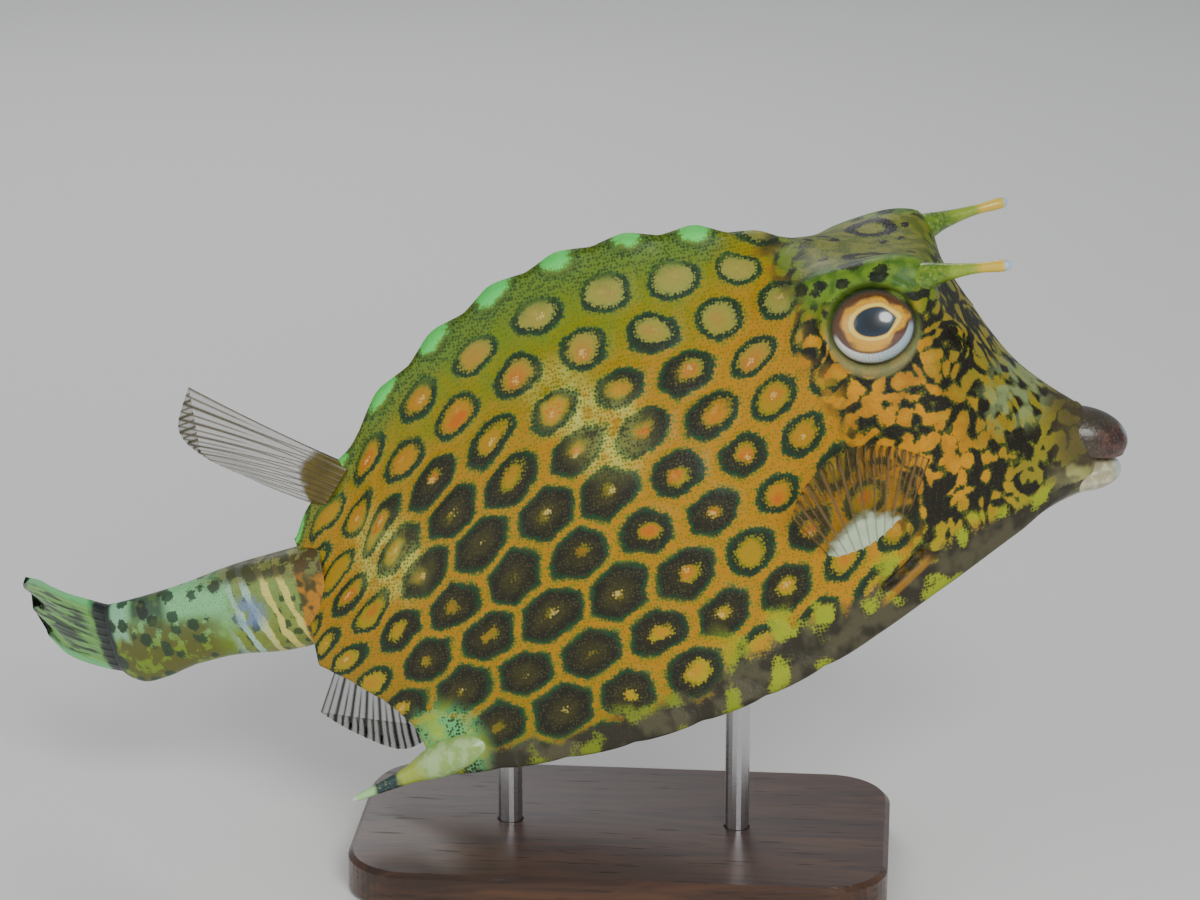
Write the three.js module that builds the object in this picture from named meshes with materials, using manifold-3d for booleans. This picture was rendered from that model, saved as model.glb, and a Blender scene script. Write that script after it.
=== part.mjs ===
// A honeycomb cowfish, life size, swimming nose-up with its tail swung aside, held by a plain display stand.
// Millimetres, +Z up, head towards +X, right flank towards -Y.
//
// The fish has a frame of its own inside the group "fish": x runs from the root of the tail fin (0) to the
// lips (250), z is up from the line between them, and y = 0 is the mirror plane. The carapace is a closed box
// of hexagonal plates. A place on it is given by x and by a row number round the girth: row 0 is the ridge of
// the back, row 2 the brow ridge over the eye, row 10 the keel along the edge of the belly, row 13 the middle
// of the belly. Positive rows are on the right flank and negative rows on the left.

import * as THREE from "three";
import { mergeVertices } from "three/addons/utils/BufferGeometryUtils.js";
import Module from "manifold-3d";

const wasm = await Module();
wasm.setup();

// Driving dimensions
const gap = 0.3;
const rightSide = -1;
const leftSide = 1;

const browRow = 2;
const keelRow = 10;
const bellyRow = 13;

const snoutEnd = 238;
const rumpEnd = 46;
const gillPlane = { x: 186.5, z: 10, lean: 14 };
const trunkBlend = [150, 190];
const snoutBlend = [220, 238];

const bodyPitch = 13;
const baseSize = { length: 132, width: 72, height: 10, corner: 16 };
const clearOfBase = 16;
const rodRadius = 3;
const rodSocketDepth = 6;
const rodPlaces = [96, 154];
const rodUncut = 80;

// Profiles of the carapace along x
const backHeight = profile([
  [38, 11], [46, 16], [52, 24], [65, 35.5], [69, 41.2], [82, 52.2], [96, 61.5], [118, 70.6], [137, 73.5],
  [156, 72.3], [181, 65.5], [197, 60.5], [211, 57], [217.3, 44.5], [221.6, 34], [226, 25.5], [232, 18.5],
  [238, 12.8], [242, 9],
]);
const browHeight = profile([
  [150, 52], [164, 56], [179, 59.4], [197, 61.4], [208.5, 59.6], [213, 47], [219, 33], [225, 23.5], [232, 16],
  [238, 10], [242, 6],
]);
const browHalfWidth = profile([
  [150, 12], [179, 20], [197, 22.5], [209, 23], [214, 19.5], [225, 12], [238, 5.5], [242, 4],
]);
const keelHeight = profile([
  [38, -39.5], [85, -39], [123, -36.7], [148, -33.2], [174, -26.9], [201, -17.2], [228, -8.6], [238, -7],
  [242, -6.5],
]);
const keelHalfWidth = profile([
  [38, 9], [46, 14], [62, 26], [76, 33], [98, 38], [123, 41], [148, 40], [174, 36], [188, 32.5], [201, 27.5],
  [215, 20.5], [228, 12.5], [238, 6], [242, 4],
]);
const flankBulge = profile([[38, 2], [76, 5], [123, 7.5], [174, 6.5], [200, 5]]);
const cheekBulge = profile([[170, 6], [197, 6.5], [215, 4.5], [238, 2]]);
const bellySag = profile([[38, 1], [123, 3.5], [200, 2.5], [238, 2]]);
const plateLength = profile([[38, 12.5], [80, 15.7], [130, 17], [178, 14.6], [205, 13.4]]);
const plateGroove = profile([[38, 0.5], [60, 0.8], [165, 0.8], [188, 0]]);
const plateLean = profile([[0, 4], [2.5, 1], [4, 6.5], [10, 15]]);
const firstPlate = 32;

// Small maths

function profile(points) {
  // Monotone cubic through the points, level beyond the two ends
  const xs = points.map((p) => p[0]);
  const ys = points.map((p) => p[1]);
  const steps = xs.slice(1).map((x, i) => x - xs[i]);
  const secants = steps.map((step, i) => (ys[i + 1] - ys[i]) / step);
  const slopes = xs.map((x, i) => {
    if (i === 0) return secants[0];
    if (i === xs.length - 1) return secants[i - 1];
    const [before, after] = [secants[i - 1], secants[i]];
    if (before * after <= 0) return 0;
    const [a, b] = [2 * steps[i] + steps[i - 1], steps[i] + 2 * steps[i - 1]];
    return (a + b) / (a / before + b / after);
  });
  return (x) => {
    if (x <= xs[0]) return ys[0];
    if (x >= xs[xs.length - 1]) return ys[ys.length - 1];
    const i = xs.findIndex((value) => value > x) - 1;
    const t = (x - xs[i]) / steps[i];
    const [t2, t3] = [t * t, t * t * t];
    return (
      ys[i] * (2 * t3 - 3 * t2 + 1) +
      slopes[i] * steps[i] * (t3 - 2 * t2 + t) +
      ys[i + 1] * (3 * t2 - 2 * t3) +
      slopes[i + 1] * steps[i] * (t3 - t2)
    );
  };
}

const mix = THREE.MathUtils.lerp;
const radians = THREE.MathUtils.degToRad;
const eased = (x, [low, high]) => THREE.MathUtils.smoothstep(x, low, high);

// The surface of the carapace

function trunkSection(x, row) {
  // Straight from the ridge of the back to the keel, swelling between them and drawn in under both edges
  const share = row / keelRow;
  const along = new THREE.Vector2(keelHalfWidth(x), keelHeight(x) - backHeight(x));
  const outward = new THREE.Vector2(-along.y, along.x).normalize();
  const swell = Math.sin(Math.PI * share) - 0.18 * Math.sin(3 * Math.PI * share);
  return along
    .multiplyScalar(share)
    .add(new THREE.Vector2(0, backHeight(x)))
    .addScaledVector(outward, flankBulge(x) * swell);
}

function headSection(x, row) {
  // A dished crown between the brow ridges, then a cheek down to the keel
  if (row <= browRow) {
    const share = row / browRow;
    return new THREE.Vector2(browHalfWidth(x) * share, mix(backHeight(x), browHeight(x), share ** 1.7));
  }
  const share = (row - browRow) / (keelRow - browRow);
  const brow = new THREE.Vector2(browHalfWidth(x), browHeight(x));
  const along = new THREE.Vector2(keelHalfWidth(x), keelHeight(x)).sub(brow);
  const outward = new THREE.Vector2(-along.y, along.x).normalize();
  const swell = Math.sin(Math.PI * share ** 0.9);
  return along.multiplyScalar(share).add(brow).addScaledVector(outward, cheekBulge(x) * swell);
}

function bellySection(x, row) {
  const share = (row - keelRow) / (bellyRow - keelRow);
  const sag = bellySag(x) * Math.sin((Math.PI / 2) * share);
  return new THREE.Vector2(keelHalfWidth(x) * (1 - share), keelHeight(x) - sag);
}

function snoutSection(x, row) {
  const [top, bottom] = [backHeight(x), keelHeight(x) - bellySag(x)];
  const halfWidth = (browHalfWidth(x) + keelHalfWidth(x)) / 2 + cheekBulge(x);
  const turn = (Math.PI * row) / bellyRow;
  const height = (top + bottom) / 2 + ((top - bottom) / 2) * Math.cos(turn);
  return new THREE.Vector2(halfWidth * Math.sin(turn), height);
}

function shellPoint(x, row) {
  const side = row < 0 ? leftSide : rightSide;
  const girth = Math.abs(row);
  let section;
  if (girth > keelRow) {
    section = bellySection(x, girth);
  } else {
    section = trunkSection(x, girth).lerp(headSection(x, girth), eased(x, trunkBlend));
  }
  section.lerp(snoutSection(x, girth), eased(x, snoutBlend));
  return new THREE.Vector3(x, side * section.x, section.y);
}

function shellNormal(x, row) {
  const [dx, dRow] = [0.4, 0.12];
  const low = row - dRow < -bellyRow ? row - dRow + 2 * bellyRow : row - dRow;
  const high = row + dRow > bellyRow ? row + dRow - 2 * bellyRow : row + dRow;
  const alongX = shellPoint(x + dx, row).sub(shellPoint(x - dx, row));
  const alongRow = shellPoint(x, high).sub(shellPoint(x, low));
  return alongRow.cross(alongX).normalize();
}

function shellLifted(x, row, lift) {
  return shellPoint(x, row).addScaledVector(shellNormal(x, row), lift);
}

// Meshes and solids

function closedGeometry(vertices, triangles) {
  const geometry = new THREE.BufferGeometry();
  const places = vertices.flatMap((v) => [v.x, v.y, v.z]);
  geometry.setAttribute("position", new THREE.Float32BufferAttribute(places, 3));
  geometry.setIndex(triangles.flat());
  return geometry;
}

function solid(geometry) {
  // A closed three.js geometry as a manifold solid, turned right side out
  const bare = geometry.clone();
  bare.deleteAttribute("normal");
  bare.deleteAttribute("uv");
  const merged = mergeVertices(bare, 1e-5);
  const vertProperties = new Float32Array(merged.attributes.position.array);
  const triVerts = new Uint32Array(merged.index.array);
  const made = new wasm.Manifold(new wasm.Mesh({ numProp: 3, vertProperties, triVerts }));
  if (made.volume() >= 0) return made;
  for (let i = 0; i < triVerts.length; i += 3) {
    [triVerts[i], triVerts[i + 1]] = [triVerts[i + 1], triVerts[i]];
  }
  return new wasm.Manifold(new wasm.Mesh({ numProp: 3, vertProperties, triVerts }));
}

function largest(made) {
  return made.decompose().reduce((best, piece) => (piece.volume() > best.volume() ? piece : best));
}

function geometryOf(made) {
  const mesh = made.getMesh();
  const geometry = new THREE.BufferGeometry();
  geometry.setAttribute("position", new THREE.Float32BufferAttribute(mesh.vertProperties, 3));
  geometry.setIndex(Array.from(mesh.triVerts));
  const flat = geometry.toNonIndexed();
  flat.computeVertexNormals();
  return flat;
}

function named(name, made, material) {
  const mesh = new THREE.Mesh(geometryOf(largest(made)), material);
  mesh.name = name;
  return mesh;
}

function finish(colour, roughness, metalness = 0) {
  return new THREE.MeshStandardMaterial({ color: colour, roughness, metalness });
}

function mirrored(made) {
  return made.mirror([0, 1, 0]);
}

function ellipsoid(radii, place, turn = new THREE.Euler(), segments = [24, 16]) {
  const geometry = new THREE.SphereGeometry(1, ...segments);
  const matrix = new THREE.Matrix4().compose(place, new THREE.Quaternion().setFromEuler(turn), radii);
  return geometry.applyMatrix4(matrix);
}

function cuttingBox(size, place, turn = new THREE.Euler()) {
  const geometry = new THREE.BoxGeometry(...size);
  return solid(geometry.applyMatrix4(new THREE.Matrix4().makeRotationFromEuler(turn).setPosition(...place)));
}

function capOpenEnds(vertices, triangles) {
  // Closes each open rim of a tube with a fan about the rim's centre
  const edges = new Map();
  for (const [a, b, c] of triangles) {
    for (const [from, to] of [[a, b], [b, c], [c, a]]) edges.set(`${from}:${to}`, [from, to]);
  }
  const next = new Map();
  for (const [from, to] of edges.values()) {
    if (!edges.has(`${to}:${from}`)) next.set(from, to);
  }
  while (next.size) {
    const rim = [next.keys().next().value];
    for (let at = next.get(rim[0]); at !== rim[0]; at = next.get(at)) rim.push(at);
    const centre = new THREE.Vector3();
    rim.forEach((i) => centre.addScaledVector(vertices[i], 1 / rim.length));
    vertices.push(centre);
    rim.forEach((from, i) => triangles.push([rim[(i + 1) % rim.length], from, vertices.length - 1]));
    rim.forEach((i) => next.delete(i));
  }
}

function taperedTube(curve, radiusAt, steps, sides) {
  // A closed tube along a curve whose radius changes, with rounded ends left to the radius function
  const frames = curve.computeFrenetFrames(steps, false);
  const vertices = [];
  const triangles = [];
  for (let i = 0; i <= steps; i += 1) {
    const centre = curve.getPointAt(i / steps);
    for (let j = 0; j < sides; j += 1) {
      const turn = (2 * Math.PI * j) / sides;
      vertices.push(
        centre
          .clone()
          .addScaledVector(frames.normals[i], radiusAt(i / steps) * Math.cos(turn))
          .addScaledVector(frames.binormals[i], radiusAt(i / steps) * Math.sin(turn)),
      );
      if (i < steps) {
        const [a, b] = [i * sides + j, i * sides + ((j + 1) % sides)];
        triangles.push([a, b, b + sides], [a, b + sides, a + sides]);
      }
    }
  }
  capOpenEnds(vertices, triangles);
  return closedGeometry(vertices, triangles);
}

// The carapace behind the gills: hexagonal plates, each a low dome, with grooves between them

function plateColumns() {
  // x at every half column, by adding up the plate length from inside the rump forwards
  const halves = [firstPlate];
  while (halves[halves.length - 1] < 214) {
    const x = halves[halves.length - 1];
    halves.push(x + plateLength(x) / 2);
  }
  return halves;
}

const columnHalves = plateColumns();

function plateX(halfColumn, row) {
  const last = columnHalves.length - 1;
  const low = Math.min(Math.floor(halfColumn), last - 1);
  const straight = mix(columnHalves[low], columnHalves[low + 1], halfColumn - low);
  return straight - plateLean(Math.abs(row));
}

function plateDome(row) {
  if (row === 0) return 1.5;
  return Math.abs(row) === keelRow ? 0.9 : 0.45;
}

function platedTrunk(lift) {
  const vertices = [];
  const triangles = [];
  const shared = new Map();
  const corner = (halfColumn, row) => {
    const wrapped = row > bellyRow ? row - 2 * bellyRow : row;
    const key = `${Math.round(halfColumn)}:${Math.round(wrapped * 3)}`;
    if (!shared.has(key)) {
      const x = plateX(halfColumn, wrapped);
      const onCrease = wrapped === 0 || Math.abs(wrapped) === keelRow;
      vertices.push(shellLifted(x, wrapped, lift - plateGroove(x) * (onCrease ? 0.6 : 1)));
      shared.set(key, vertices.length - 1);
    }
    return shared.get(key);
  };
  const inside = (halfColumn, row, rise) => {
    const wrapped = row > bellyRow ? row - 2 * bellyRow : row;
    const x = plateX(halfColumn, wrapped);
    vertices.push(shellLifted(x, wrapped, lift + (rise * plateGroove(x)) / 0.8));
    return vertices.length - 1;
  };
  const lastColumn = Math.floor((columnHalves.length - 2) / 2) - 1;
  for (let row = 1 - bellyRow; row <= bellyRow; row += 1) {
    const creased = row === 0 || Math.abs(row) === keelRow;
    for (let column = 0; column <= lastColumn; column += 1) {
      const middle = 2 * column + (row % 2 === 0 ? 2 : 1);
      const outline = [[0, -2 / 3], [1, -1 / 3], ...(creased ? [[1, 0]] : []), [1, 1 / 3]];
      const ring = [...outline, ...outline.map(([a, b]) => [-a, -b])];
      const outer = ring.map(([a, b]) => corner(middle + a, row + b));
      const inner = ring.map(([a, b]) => inside(middle + a * 0.8, row + b * 0.8, 0));
      const centre = inside(middle, row, plateDome(row));
      ring.forEach((unused, i) => {
        const j = (i + 1) % ring.length;
        triangles.push([outer[i], outer[j], inner[j]], [outer[i], inner[j], inner[i]]);
        triangles.push([inner[i], inner[j], centre]);
      });
    }
  }
  capOpenEnds(vertices, triangles);
  return solid(closedGeometry(vertices, triangles));
}

// The head, from behind the gills to the lips, as a finer smooth grid

function headStations() {
  const stations = [];
  for (let x = 168; x < 206; x += 5) stations.push(x);
  for (let x = 207; x < 228; x += 2) stations.push(x);
  return [...stations, 230, 234, snoutEnd];
}

function smoothHead(lift) {
  const rows = [];
  for (let row = 0; row < bellyRow; row += row < 4 ? 0.5 : 1) rows.push(row);
  const girth = [...rows, bellyRow, ...rows.slice(1).reverse().map((row) => -row)];
  const stations = headStations();
  const vertices = stations.flatMap((x) => girth.map((row) => shellLifted(x, row, lift)));
  const triangles = [];
  for (let i = 0; i + 1 < stations.length; i += 1) {
    girth.forEach((row, j) => {
      const [a, b] = [i * girth.length + j, i * girth.length + ((j + 1) % girth.length)];
      const [c, d] = [b + girth.length, a + girth.length];
      if (row >= 0) triangles.push([a, b, d], [b, c, d]);
      else triangles.push([a, b, c], [a, c, d]);
    });
  }
  capOpenEnds(vertices, triangles);
  return solid(closedGeometry(vertices, triangles));
}

// The tail bends to the left: it is drawn straight, by the distance behind the rear rim of the carapace, and
// each point is then carried round the bend

const stalkLength = 55;
const stalkTop = profile([[-8, 14.5], [0, 13.6], [8, 13], [17, 12.2], [33, 9.2], [44, 7.4], [55, 5.6]]);
const stalkBottom = profile([
  [-8, -10], [0, -11.2], [8, -11.6], [22, -10.4], [32, -11.4], [42, -14.1], [48, -15.1], [53, -13.8],
  [55, -12.4],
]);
const stalkHalfWidth = profile([[-8, 8.6], [10, 7.4], [24, 5.8], [40, 4], [53, 2.6], [55, 2.3]]);
const tailHeading = profile([[0, 0], [12, 0], [30, 8], [46, 20], [54, 30], [70, 46], [88, 57], [110, 64]]);
const tailStep = 1;

function bentTail(distance, y, z) {
  const centre = new THREE.Vector3(rumpEnd, 0, z);
  if (distance <= 0) return centre.add(new THREE.Vector3(-distance, y, 0));
  for (let done = 0; done < distance; done += tailStep) {
    const step = Math.min(tailStep, distance - done);
    const heading = radians(tailHeading(done + step / 2));
    centre.x -= step * Math.cos(heading);
    centre.y += step * Math.sin(heading);
  }
  const heading = radians(tailHeading(distance));
  return centre.add(new THREE.Vector3(y * Math.sin(heading), y * Math.cos(heading), 0));
}

function tailStalk(lift) {
  const sides = 18;
  const stations = [-7, 0, 6, 12, 18, 24, 30, 35, 40, 44, 47.5, 50.5, 53, stalkLength - gap / 2];
  const boxiness = 2.4;
  const vertices = [];
  const triangles = [];
  stations.forEach((distance, i) => {
    const middle = (stalkTop(distance) + stalkBottom(distance)) / 2;
    const halfHeight = (stalkTop(distance) - stalkBottom(distance)) / 2 + lift;
    const halfWidth = stalkHalfWidth(distance) + lift;
    for (let j = 0; j < sides; j += 1) {
      const turn = (2 * Math.PI * j) / sides;
      const [across, up] = [Math.cos(turn), Math.sin(turn)];
      const reach = (Math.abs(across) ** boxiness + Math.abs(up) ** boxiness) ** (-1 / boxiness);
      vertices.push(bentTail(distance, halfWidth * across * reach, middle + halfHeight * up * reach));
      if (i + 1 < stations.length) {
        const [a, b] = [i * sides + j, i * sides + ((j + 1) % sides)];
        triangles.push([a, b, b + sides], [a, b + sides, a + sides]);
      }
    }
  });
  capOpenEnds(vertices, triangles);
  return solid(closedGeometry(vertices, triangles));
}

// Fins: a membrane with its rays raised on both faces, fleshy at the root

function finSolid({ rays, steps, place, flesh, fleshLength, ray = 0.55, membrane = 0.27, margin = 0.26 }) {
  const columns = 2 * (rays - 1);
  const vertices = [];
  const triangles = [];
  const small = 0.01;
  for (let c = 0; c <= columns; c += 1) {
    for (let s = 0; s <= steps; s += 1) {
      const [across, along] = [c / columns, s / steps];
      const middle = place(across, along);
      const [before, after] = [Math.max(across - small, 0), Math.min(across + small, 1)];
      const [near, far] = [Math.max(along - small, 0), Math.min(along + small, 1)];
      const spread = place(after, along).sub(place(before, along));
      const reach = place(across, far).sub(place(across, near));
      const normal = spread.cross(reach).normalize();
      const rib = c % 2 === 0 ? mix(ray, margin, along) : mix(membrane, margin, along);
      const edge = Math.sin(Math.PI * (0.15 + 0.7 * across));
      const half = rib + flesh * edge * Math.exp(-((along / fleshLength) ** 2));
      vertices.push(middle.clone().addScaledVector(normal, half), middle.addScaledVector(normal, -half));
    }
  }
  const at = (c, s, face) => 2 * (c * (steps + 1) + s) + face;
  const quad = (a, b, c, d) => triangles.push([a, b, c], [a, c, d]);
  for (let c = 0; c < columns; c += 1) {
    for (let s = 0; s < steps; s += 1) {
      quad(at(c, s, 0), at(c + 1, s, 0), at(c + 1, s + 1, 0), at(c, s + 1, 0));
      triangles.push(
        [at(c, s, 1), at(c + 1, s + 1, 1), at(c + 1, s, 1)],
        [at(c, s, 1), at(c, s + 1, 1), at(c + 1, s + 1, 1)],
      );
    }
    quad(at(c, 0, 0), at(c, 0, 1), at(c + 1, 0, 1), at(c + 1, 0, 0));
    quad(at(c, steps, 0), at(c + 1, steps, 0), at(c + 1, steps, 1), at(c, steps, 1));
  }
  for (let s = 0; s < steps; s += 1) {
    quad(at(0, s, 0), at(0, s + 1, 0), at(0, s + 1, 1), at(0, s, 1));
    quad(at(columns, s, 0), at(columns, s, 1), at(columns, s + 1, 1), at(columns, s + 1, 0));
  }
  return solid(closedGeometry(vertices, triangles));
}

const dorsalFin = {
  front: new THREE.Vector3(64, 0, 31.5),
  rear: new THREE.Vector3(55, 0, 22.5),
  angles: [144, 151],
  lengths: profile([[0, 44], [0.25, 43], [0.6, 34], [1, 21]]),
  sway: 5,
};

function dorsalPlace(across, along) {
  const root = dorsalFin.front.clone().lerp(dorsalFin.rear, across);
  const turn = radians(mix(...dorsalFin.angles, across) + 9 * Math.sin(Math.PI * across) * along);
  const reach = dorsalFin.lengths(across) * along;
  const sway = dorsalFin.sway * along ** 2;
  return root.add(new THREE.Vector3(reach * Math.cos(turn), sway, reach * Math.sin(turn)));
}

const analFin = {
  front: new THREE.Vector3(65, 0, -17),
  rear: new THREE.Vector3(54, 0, -8),
  angles: [-84, -122],
  lengths: profile([[0, 25], [0.4, 31], [1, 27]]),
  sway: 4,
};

function analPlace(across, along) {
  const root = analFin.front.clone().lerp(analFin.rear, across);
  const turn = radians(mix(...analFin.angles, across));
  const reach = analFin.lengths(across) * along;
  const sway = analFin.sway * along ** 2;
  return root.add(new THREE.Vector3(reach * Math.cos(turn), sway, reach * Math.sin(turn)));
}

const pectoralFin = {
  front: { x: 193.2, z: -4.6 },
  rear: { x: 178.8, z: -7.3 },
  angles: profile([[0, 60], [0.5, 84], [1, 115]]),
  lengths: profile([[0, 22], [0.3, 29], [0.55, 32], [0.8, 27], [1, 20]]),
  outward: profile([[0, 22], [0.5, 28], [1, 34]]),
  sunk: 4,
};

function pectoralPlace(across, along) {
  const { front, rear, sunk } = pectoralFin;
  const x = mix(front.x, rear.x, across);
  const root = shellLifted(x, rowAtHeight(x, mix(front.z, rear.z, across)), -sunk);
  const turn = radians(pectoralFin.angles(across));
  const out = radians(pectoralFin.outward(across));
  const reach = (pectoralFin.lengths(across) + sunk) * along;
  const curl = 3 * along ** 2;
  return root.add(
    new THREE.Vector3(
      reach * Math.cos(turn) * Math.cos(out),
      -reach * Math.sin(out) + curl,
      reach * Math.sin(turn) * Math.cos(out),
    ),
  );
}

const tailFinTop = profile([[0, 5.6], [0.2, 7], [0.6, 7.7], [1, 4.6]]);
const tailFinBottom = profile([[0, -12.4], [0.3, -11.8], [0.7, -10.9], [1, -8.4]]);
const tailFinReach = profile([[0, 52], [0.3, 50], [0.7, 43], [1, 36]]);

function tailFinPlace(across, along) {
  const distance = stalkLength + gap / 2 + tailFinReach(across) * along;
  return bentTail(distance, 0, mix(tailFinTop(along), tailFinBottom(along), across));
}

// Horns, spines, eyes, lips

function hornCurve() {
  return new THREE.CatmullRomCurve3([
    new THREE.Vector3(202, -20.5, 50.5),
    new THREE.Vector3(210, -22.6, 55),
    new THREE.Vector3(219, -25.4, 56.6),
    new THREE.Vector3(231, -29.5, 56.8),
  ]);
}

const hornRadius = profile([
  [0, 2.6], [0.16, 4.6], [0.3, 3.7], [0.5, 2.1], [0.78, 1.2], [0.92, 1.35], [1, 0.8],
]);

function spineCurve() {
  return new THREE.CatmullRomCurve3([
    new THREE.Vector3(88, -31.5, -33),
    new THREE.Vector3(75, -31.6, -35.6),
    new THREE.Vector3(63, -31.6, -38.8),
    new THREE.Vector3(50.5, -31.4, -42),
  ]);
}

const spineRadius = profile([[0, 2], [0.2, 4.2], [0.35, 4.2], [0.6, 2.1], [0.85, 1.1], [1, 0.6]]);

const eye = {
  x: 197,
  z: 48.2,
  sunk: 2.6,
  radii: new THREE.Vector3(10.2, 6.2, 9),
  turn: new THREE.Euler(radians(-14), 0, 0),
};

function eyeCentre() {
  return shellLifted(eye.x, rowAtHeight(eye.x, eye.z), -eye.sunk);
}

function rowAtHeight(x, z) {
  let [low, high] = [browRow, keelRow];
  for (let i = 0; i < 30; i += 1) {
    const middle = (low + high) / 2;
    if (shellPoint(x, middle).z > z) low = middle;
    else high = middle;
  }
  return low;
}

function eyeball(lift) {
  const radii = eye.radii.clone().addScalar(lift);
  return solid(ellipsoid(radii, eyeCentre(), eye.turn, [20, 12]));
}

function orbitRim() {
  const geometry = new THREE.TorusGeometry(1, 0.13, 6, 20);
  const size = new THREE.Vector3(eye.radii.x * 0.99, eye.radii.z * 0.99, 11);
  const matrix = new THREE.Matrix4()
    .makeTranslation(...eyeCentre().add(new THREE.Vector3(0, -1.6, 0)))
    .multiply(new THREE.Matrix4().makeRotationFromEuler(eye.turn))
    .multiply(new THREE.Matrix4().makeRotationX(Math.PI / 2))
    .multiply(new THREE.Matrix4().makeScale(size.x, size.y, size.z));
  return solid(geometry.applyMatrix4(matrix));
}

const nostrils = [{ x: 214.5, z: 40 }, { x: 216.6, z: 37.5 }];

function nostrilPit({ x, z }) {
  const place = shellPoint(x, rowAtHeight(x, z));
  return solid(ellipsoid(new THREE.Vector3(1.1, 1.5, 0.9), place, new THREE.Euler(), [10, 6]));
}

const gillSlit = { x: 192.6, z: -10, turn: -30, length: 7.2, depth: 3.2, height: 0.75 };

function gillCut() {
  const place = shellPoint(gillSlit.x, rowAtHeight(gillSlit.x, gillSlit.z));
  const radii = new THREE.Vector3(gillSlit.length, gillSlit.depth, gillSlit.height);
  return solid(ellipsoid(radii, place, new THREE.Euler(0, radians(gillSlit.turn), 0), [16, 8]));
}

const upperLip = {
  radii: new THREE.Vector3(11.6, 7.6, 7.4),
  place: new THREE.Vector3(237.6, 0, 4.2),
  turn: new THREE.Euler(0, radians(20), 0),
};
const lowerLip = {
  radii: new THREE.Vector3(9, 6.9, 4.6),
  place: new THREE.Vector3(237, 0, -4.8),
  turn: new THREE.Euler(0, radians(4), 0),
};
const mouthLine = { place: [247, 0, -3.1], size: [22, 30, 0.9], turn: new THREE.Euler(0, radians(22), 0) };
// The room for the lower lip: everything under the line of the mouth
const underMouth = { place: [241.2, 0, -17.5], size: [60, 60, 30] };

// The fish, put together in its own frame

function rumpCutter() {
  // Everything behind the carapace's rear rim: a slope hollowed up from the two spines to the tail
  const outline = new THREE.Shape();
  outline.moveTo(rumpEnd, 80);
  outline.lineTo(rumpEnd, -13.8);
  outline.quadraticCurveTo(66, -20, 70.5, -31);
  outline.lineTo(74.5, -48);
  outline.lineTo(10, -70);
  outline.lineTo(10, 80);
  const geometry = new THREE.ExtrudeGeometry(outline, { depth: 120, bevelEnabled: false, curveSegments: 8 });
  geometry.rotateX(Math.PI / 2).translate(0, 60, 0);
  return solid(geometry);
}

function gillHalf(ahead) {
  // A block that covers all of the fish on one side of the slanted plane behind the head
  const size = 400;
  const turn = new THREE.Euler(0, radians(-gillPlane.lean), 0);
  const offset = new THREE.Vector3(ahead * (size / 2 - gap / 2), 0, 0).applyEuler(turn);
  return cuttingBox([size, size, size], [gillPlane.x + offset.x, 0, gillPlane.z + offset.z], turn);
}

const skin = {
  trunk: finish(0xb98a2e, 0.45),
  head: finish(0xc08a2a, 0.45),
  tail: finish(0xa9b66a, 0.5),
  horn: finish(0x9fb83c, 0.4),
  lip: finish(0x8d7a62, 0.4),
  fin: finish(0x6f7c5a, 0.5),
  eye: finish(0x2a3440, 0.1),
  wood: finish(0x3a2a1e, 0.5),
  steel: finish(0xb8babd, 0.3, 1),
};

const trunkRaised = platedTrunk(gap);
const headRaised = smoothHead(gap);
const bothSides = (made) => [made, mirrored(made)];
const offBody = (made) => made.subtract(trunkRaised).subtract(headRaised);

function carapace() {
  return platedTrunk(0)
    .subtract(rumpCutter())
    .subtract(tailStalk(gap))
    .subtract(gillHalf(1))
    .subtract(gillCut())
    .subtract(mirrored(gillCut()));
}

function head() {
  let made = smoothHead(0).subtract(gillHalf(-1));
  for (const rim of bothSides(orbitRim())) made = made.add(rim);
  for (const ball of bothSides(eyeball(gap))) made = made.subtract(ball);
  for (const nostril of nostrils) {
    for (const pit of bothSides(nostrilPit(nostril))) made = made.subtract(pit);
  }
  return made;
}

function fleshOffRim(made) {
  return bothSides(orbitRim()).reduce((rest, rim) => rest.subtract(rim), made);
}

const fish = new THREE.Group();
fish.name = "fish";

const horn = fleshOffRim(offBody(solid(taperedTube(hornCurve(), hornRadius, 11, 10))));
const spine = offBody(solid(taperedTube(spineCurve(), spineRadius, 10, 10)));
const fan = finSolid({ rays: 11, steps: 5, place: pectoralPlace, flesh: 2.2, fleshLength: 0.24 });
const pectoral = offBody(fan);
const upper = solid(ellipsoid(upperLip.radii, upperLip.place, upperLip.turn, [20, 10]));
const lower = solid(ellipsoid(lowerLip.radii, lowerLip.place, lowerLip.turn, [18, 10]));
const mouthGap = cuttingBox(mouthLine.size, mouthLine.place, mouthLine.turn);
const lowerRoom = cuttingBox(underMouth.size, underMouth.place, mouthLine.turn);

fish.add(named("carapace", carapace(), skin.trunk));
fish.add(named("head", head(), skin.head));
const offFace = (lip) => lip.subtract(mouthGap).subtract(headRaised);
fish.add(named("lip_upper", offFace(upper.subtract(lowerRoom)), skin.lip));
fish.add(named("lip_lower", offFace(lower.intersect(lowerRoom)), skin.lip));
for (const [side, turned] of [["right", (made) => made], ["left", mirrored]]) {
  fish.add(named(`eye_${side}`, turned(eyeball(0)), skin.eye));
  fish.add(named(`horn_${side}`, turned(horn), skin.horn));
  fish.add(named(`rear_spine_${side}`, turned(spine), skin.horn));
  fish.add(named(`pectoral_fin_${side}`, turned(pectoral), skin.fin));
}
const dorsal = finSolid({ rays: 10, steps: 5, place: dorsalPlace, flesh: 2.4, fleshLength: 0.34 });
const anal = finSolid({ rays: 9, steps: 4, place: analPlace, flesh: 2, fleshLength: 0.36 });
const caudal = finSolid({ rays: 9, steps: 9, place: tailFinPlace, flesh: 1.6, fleshLength: 0.2 });
const rumpRoom = platedTrunk(gap).subtract(rumpCutter());
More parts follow.
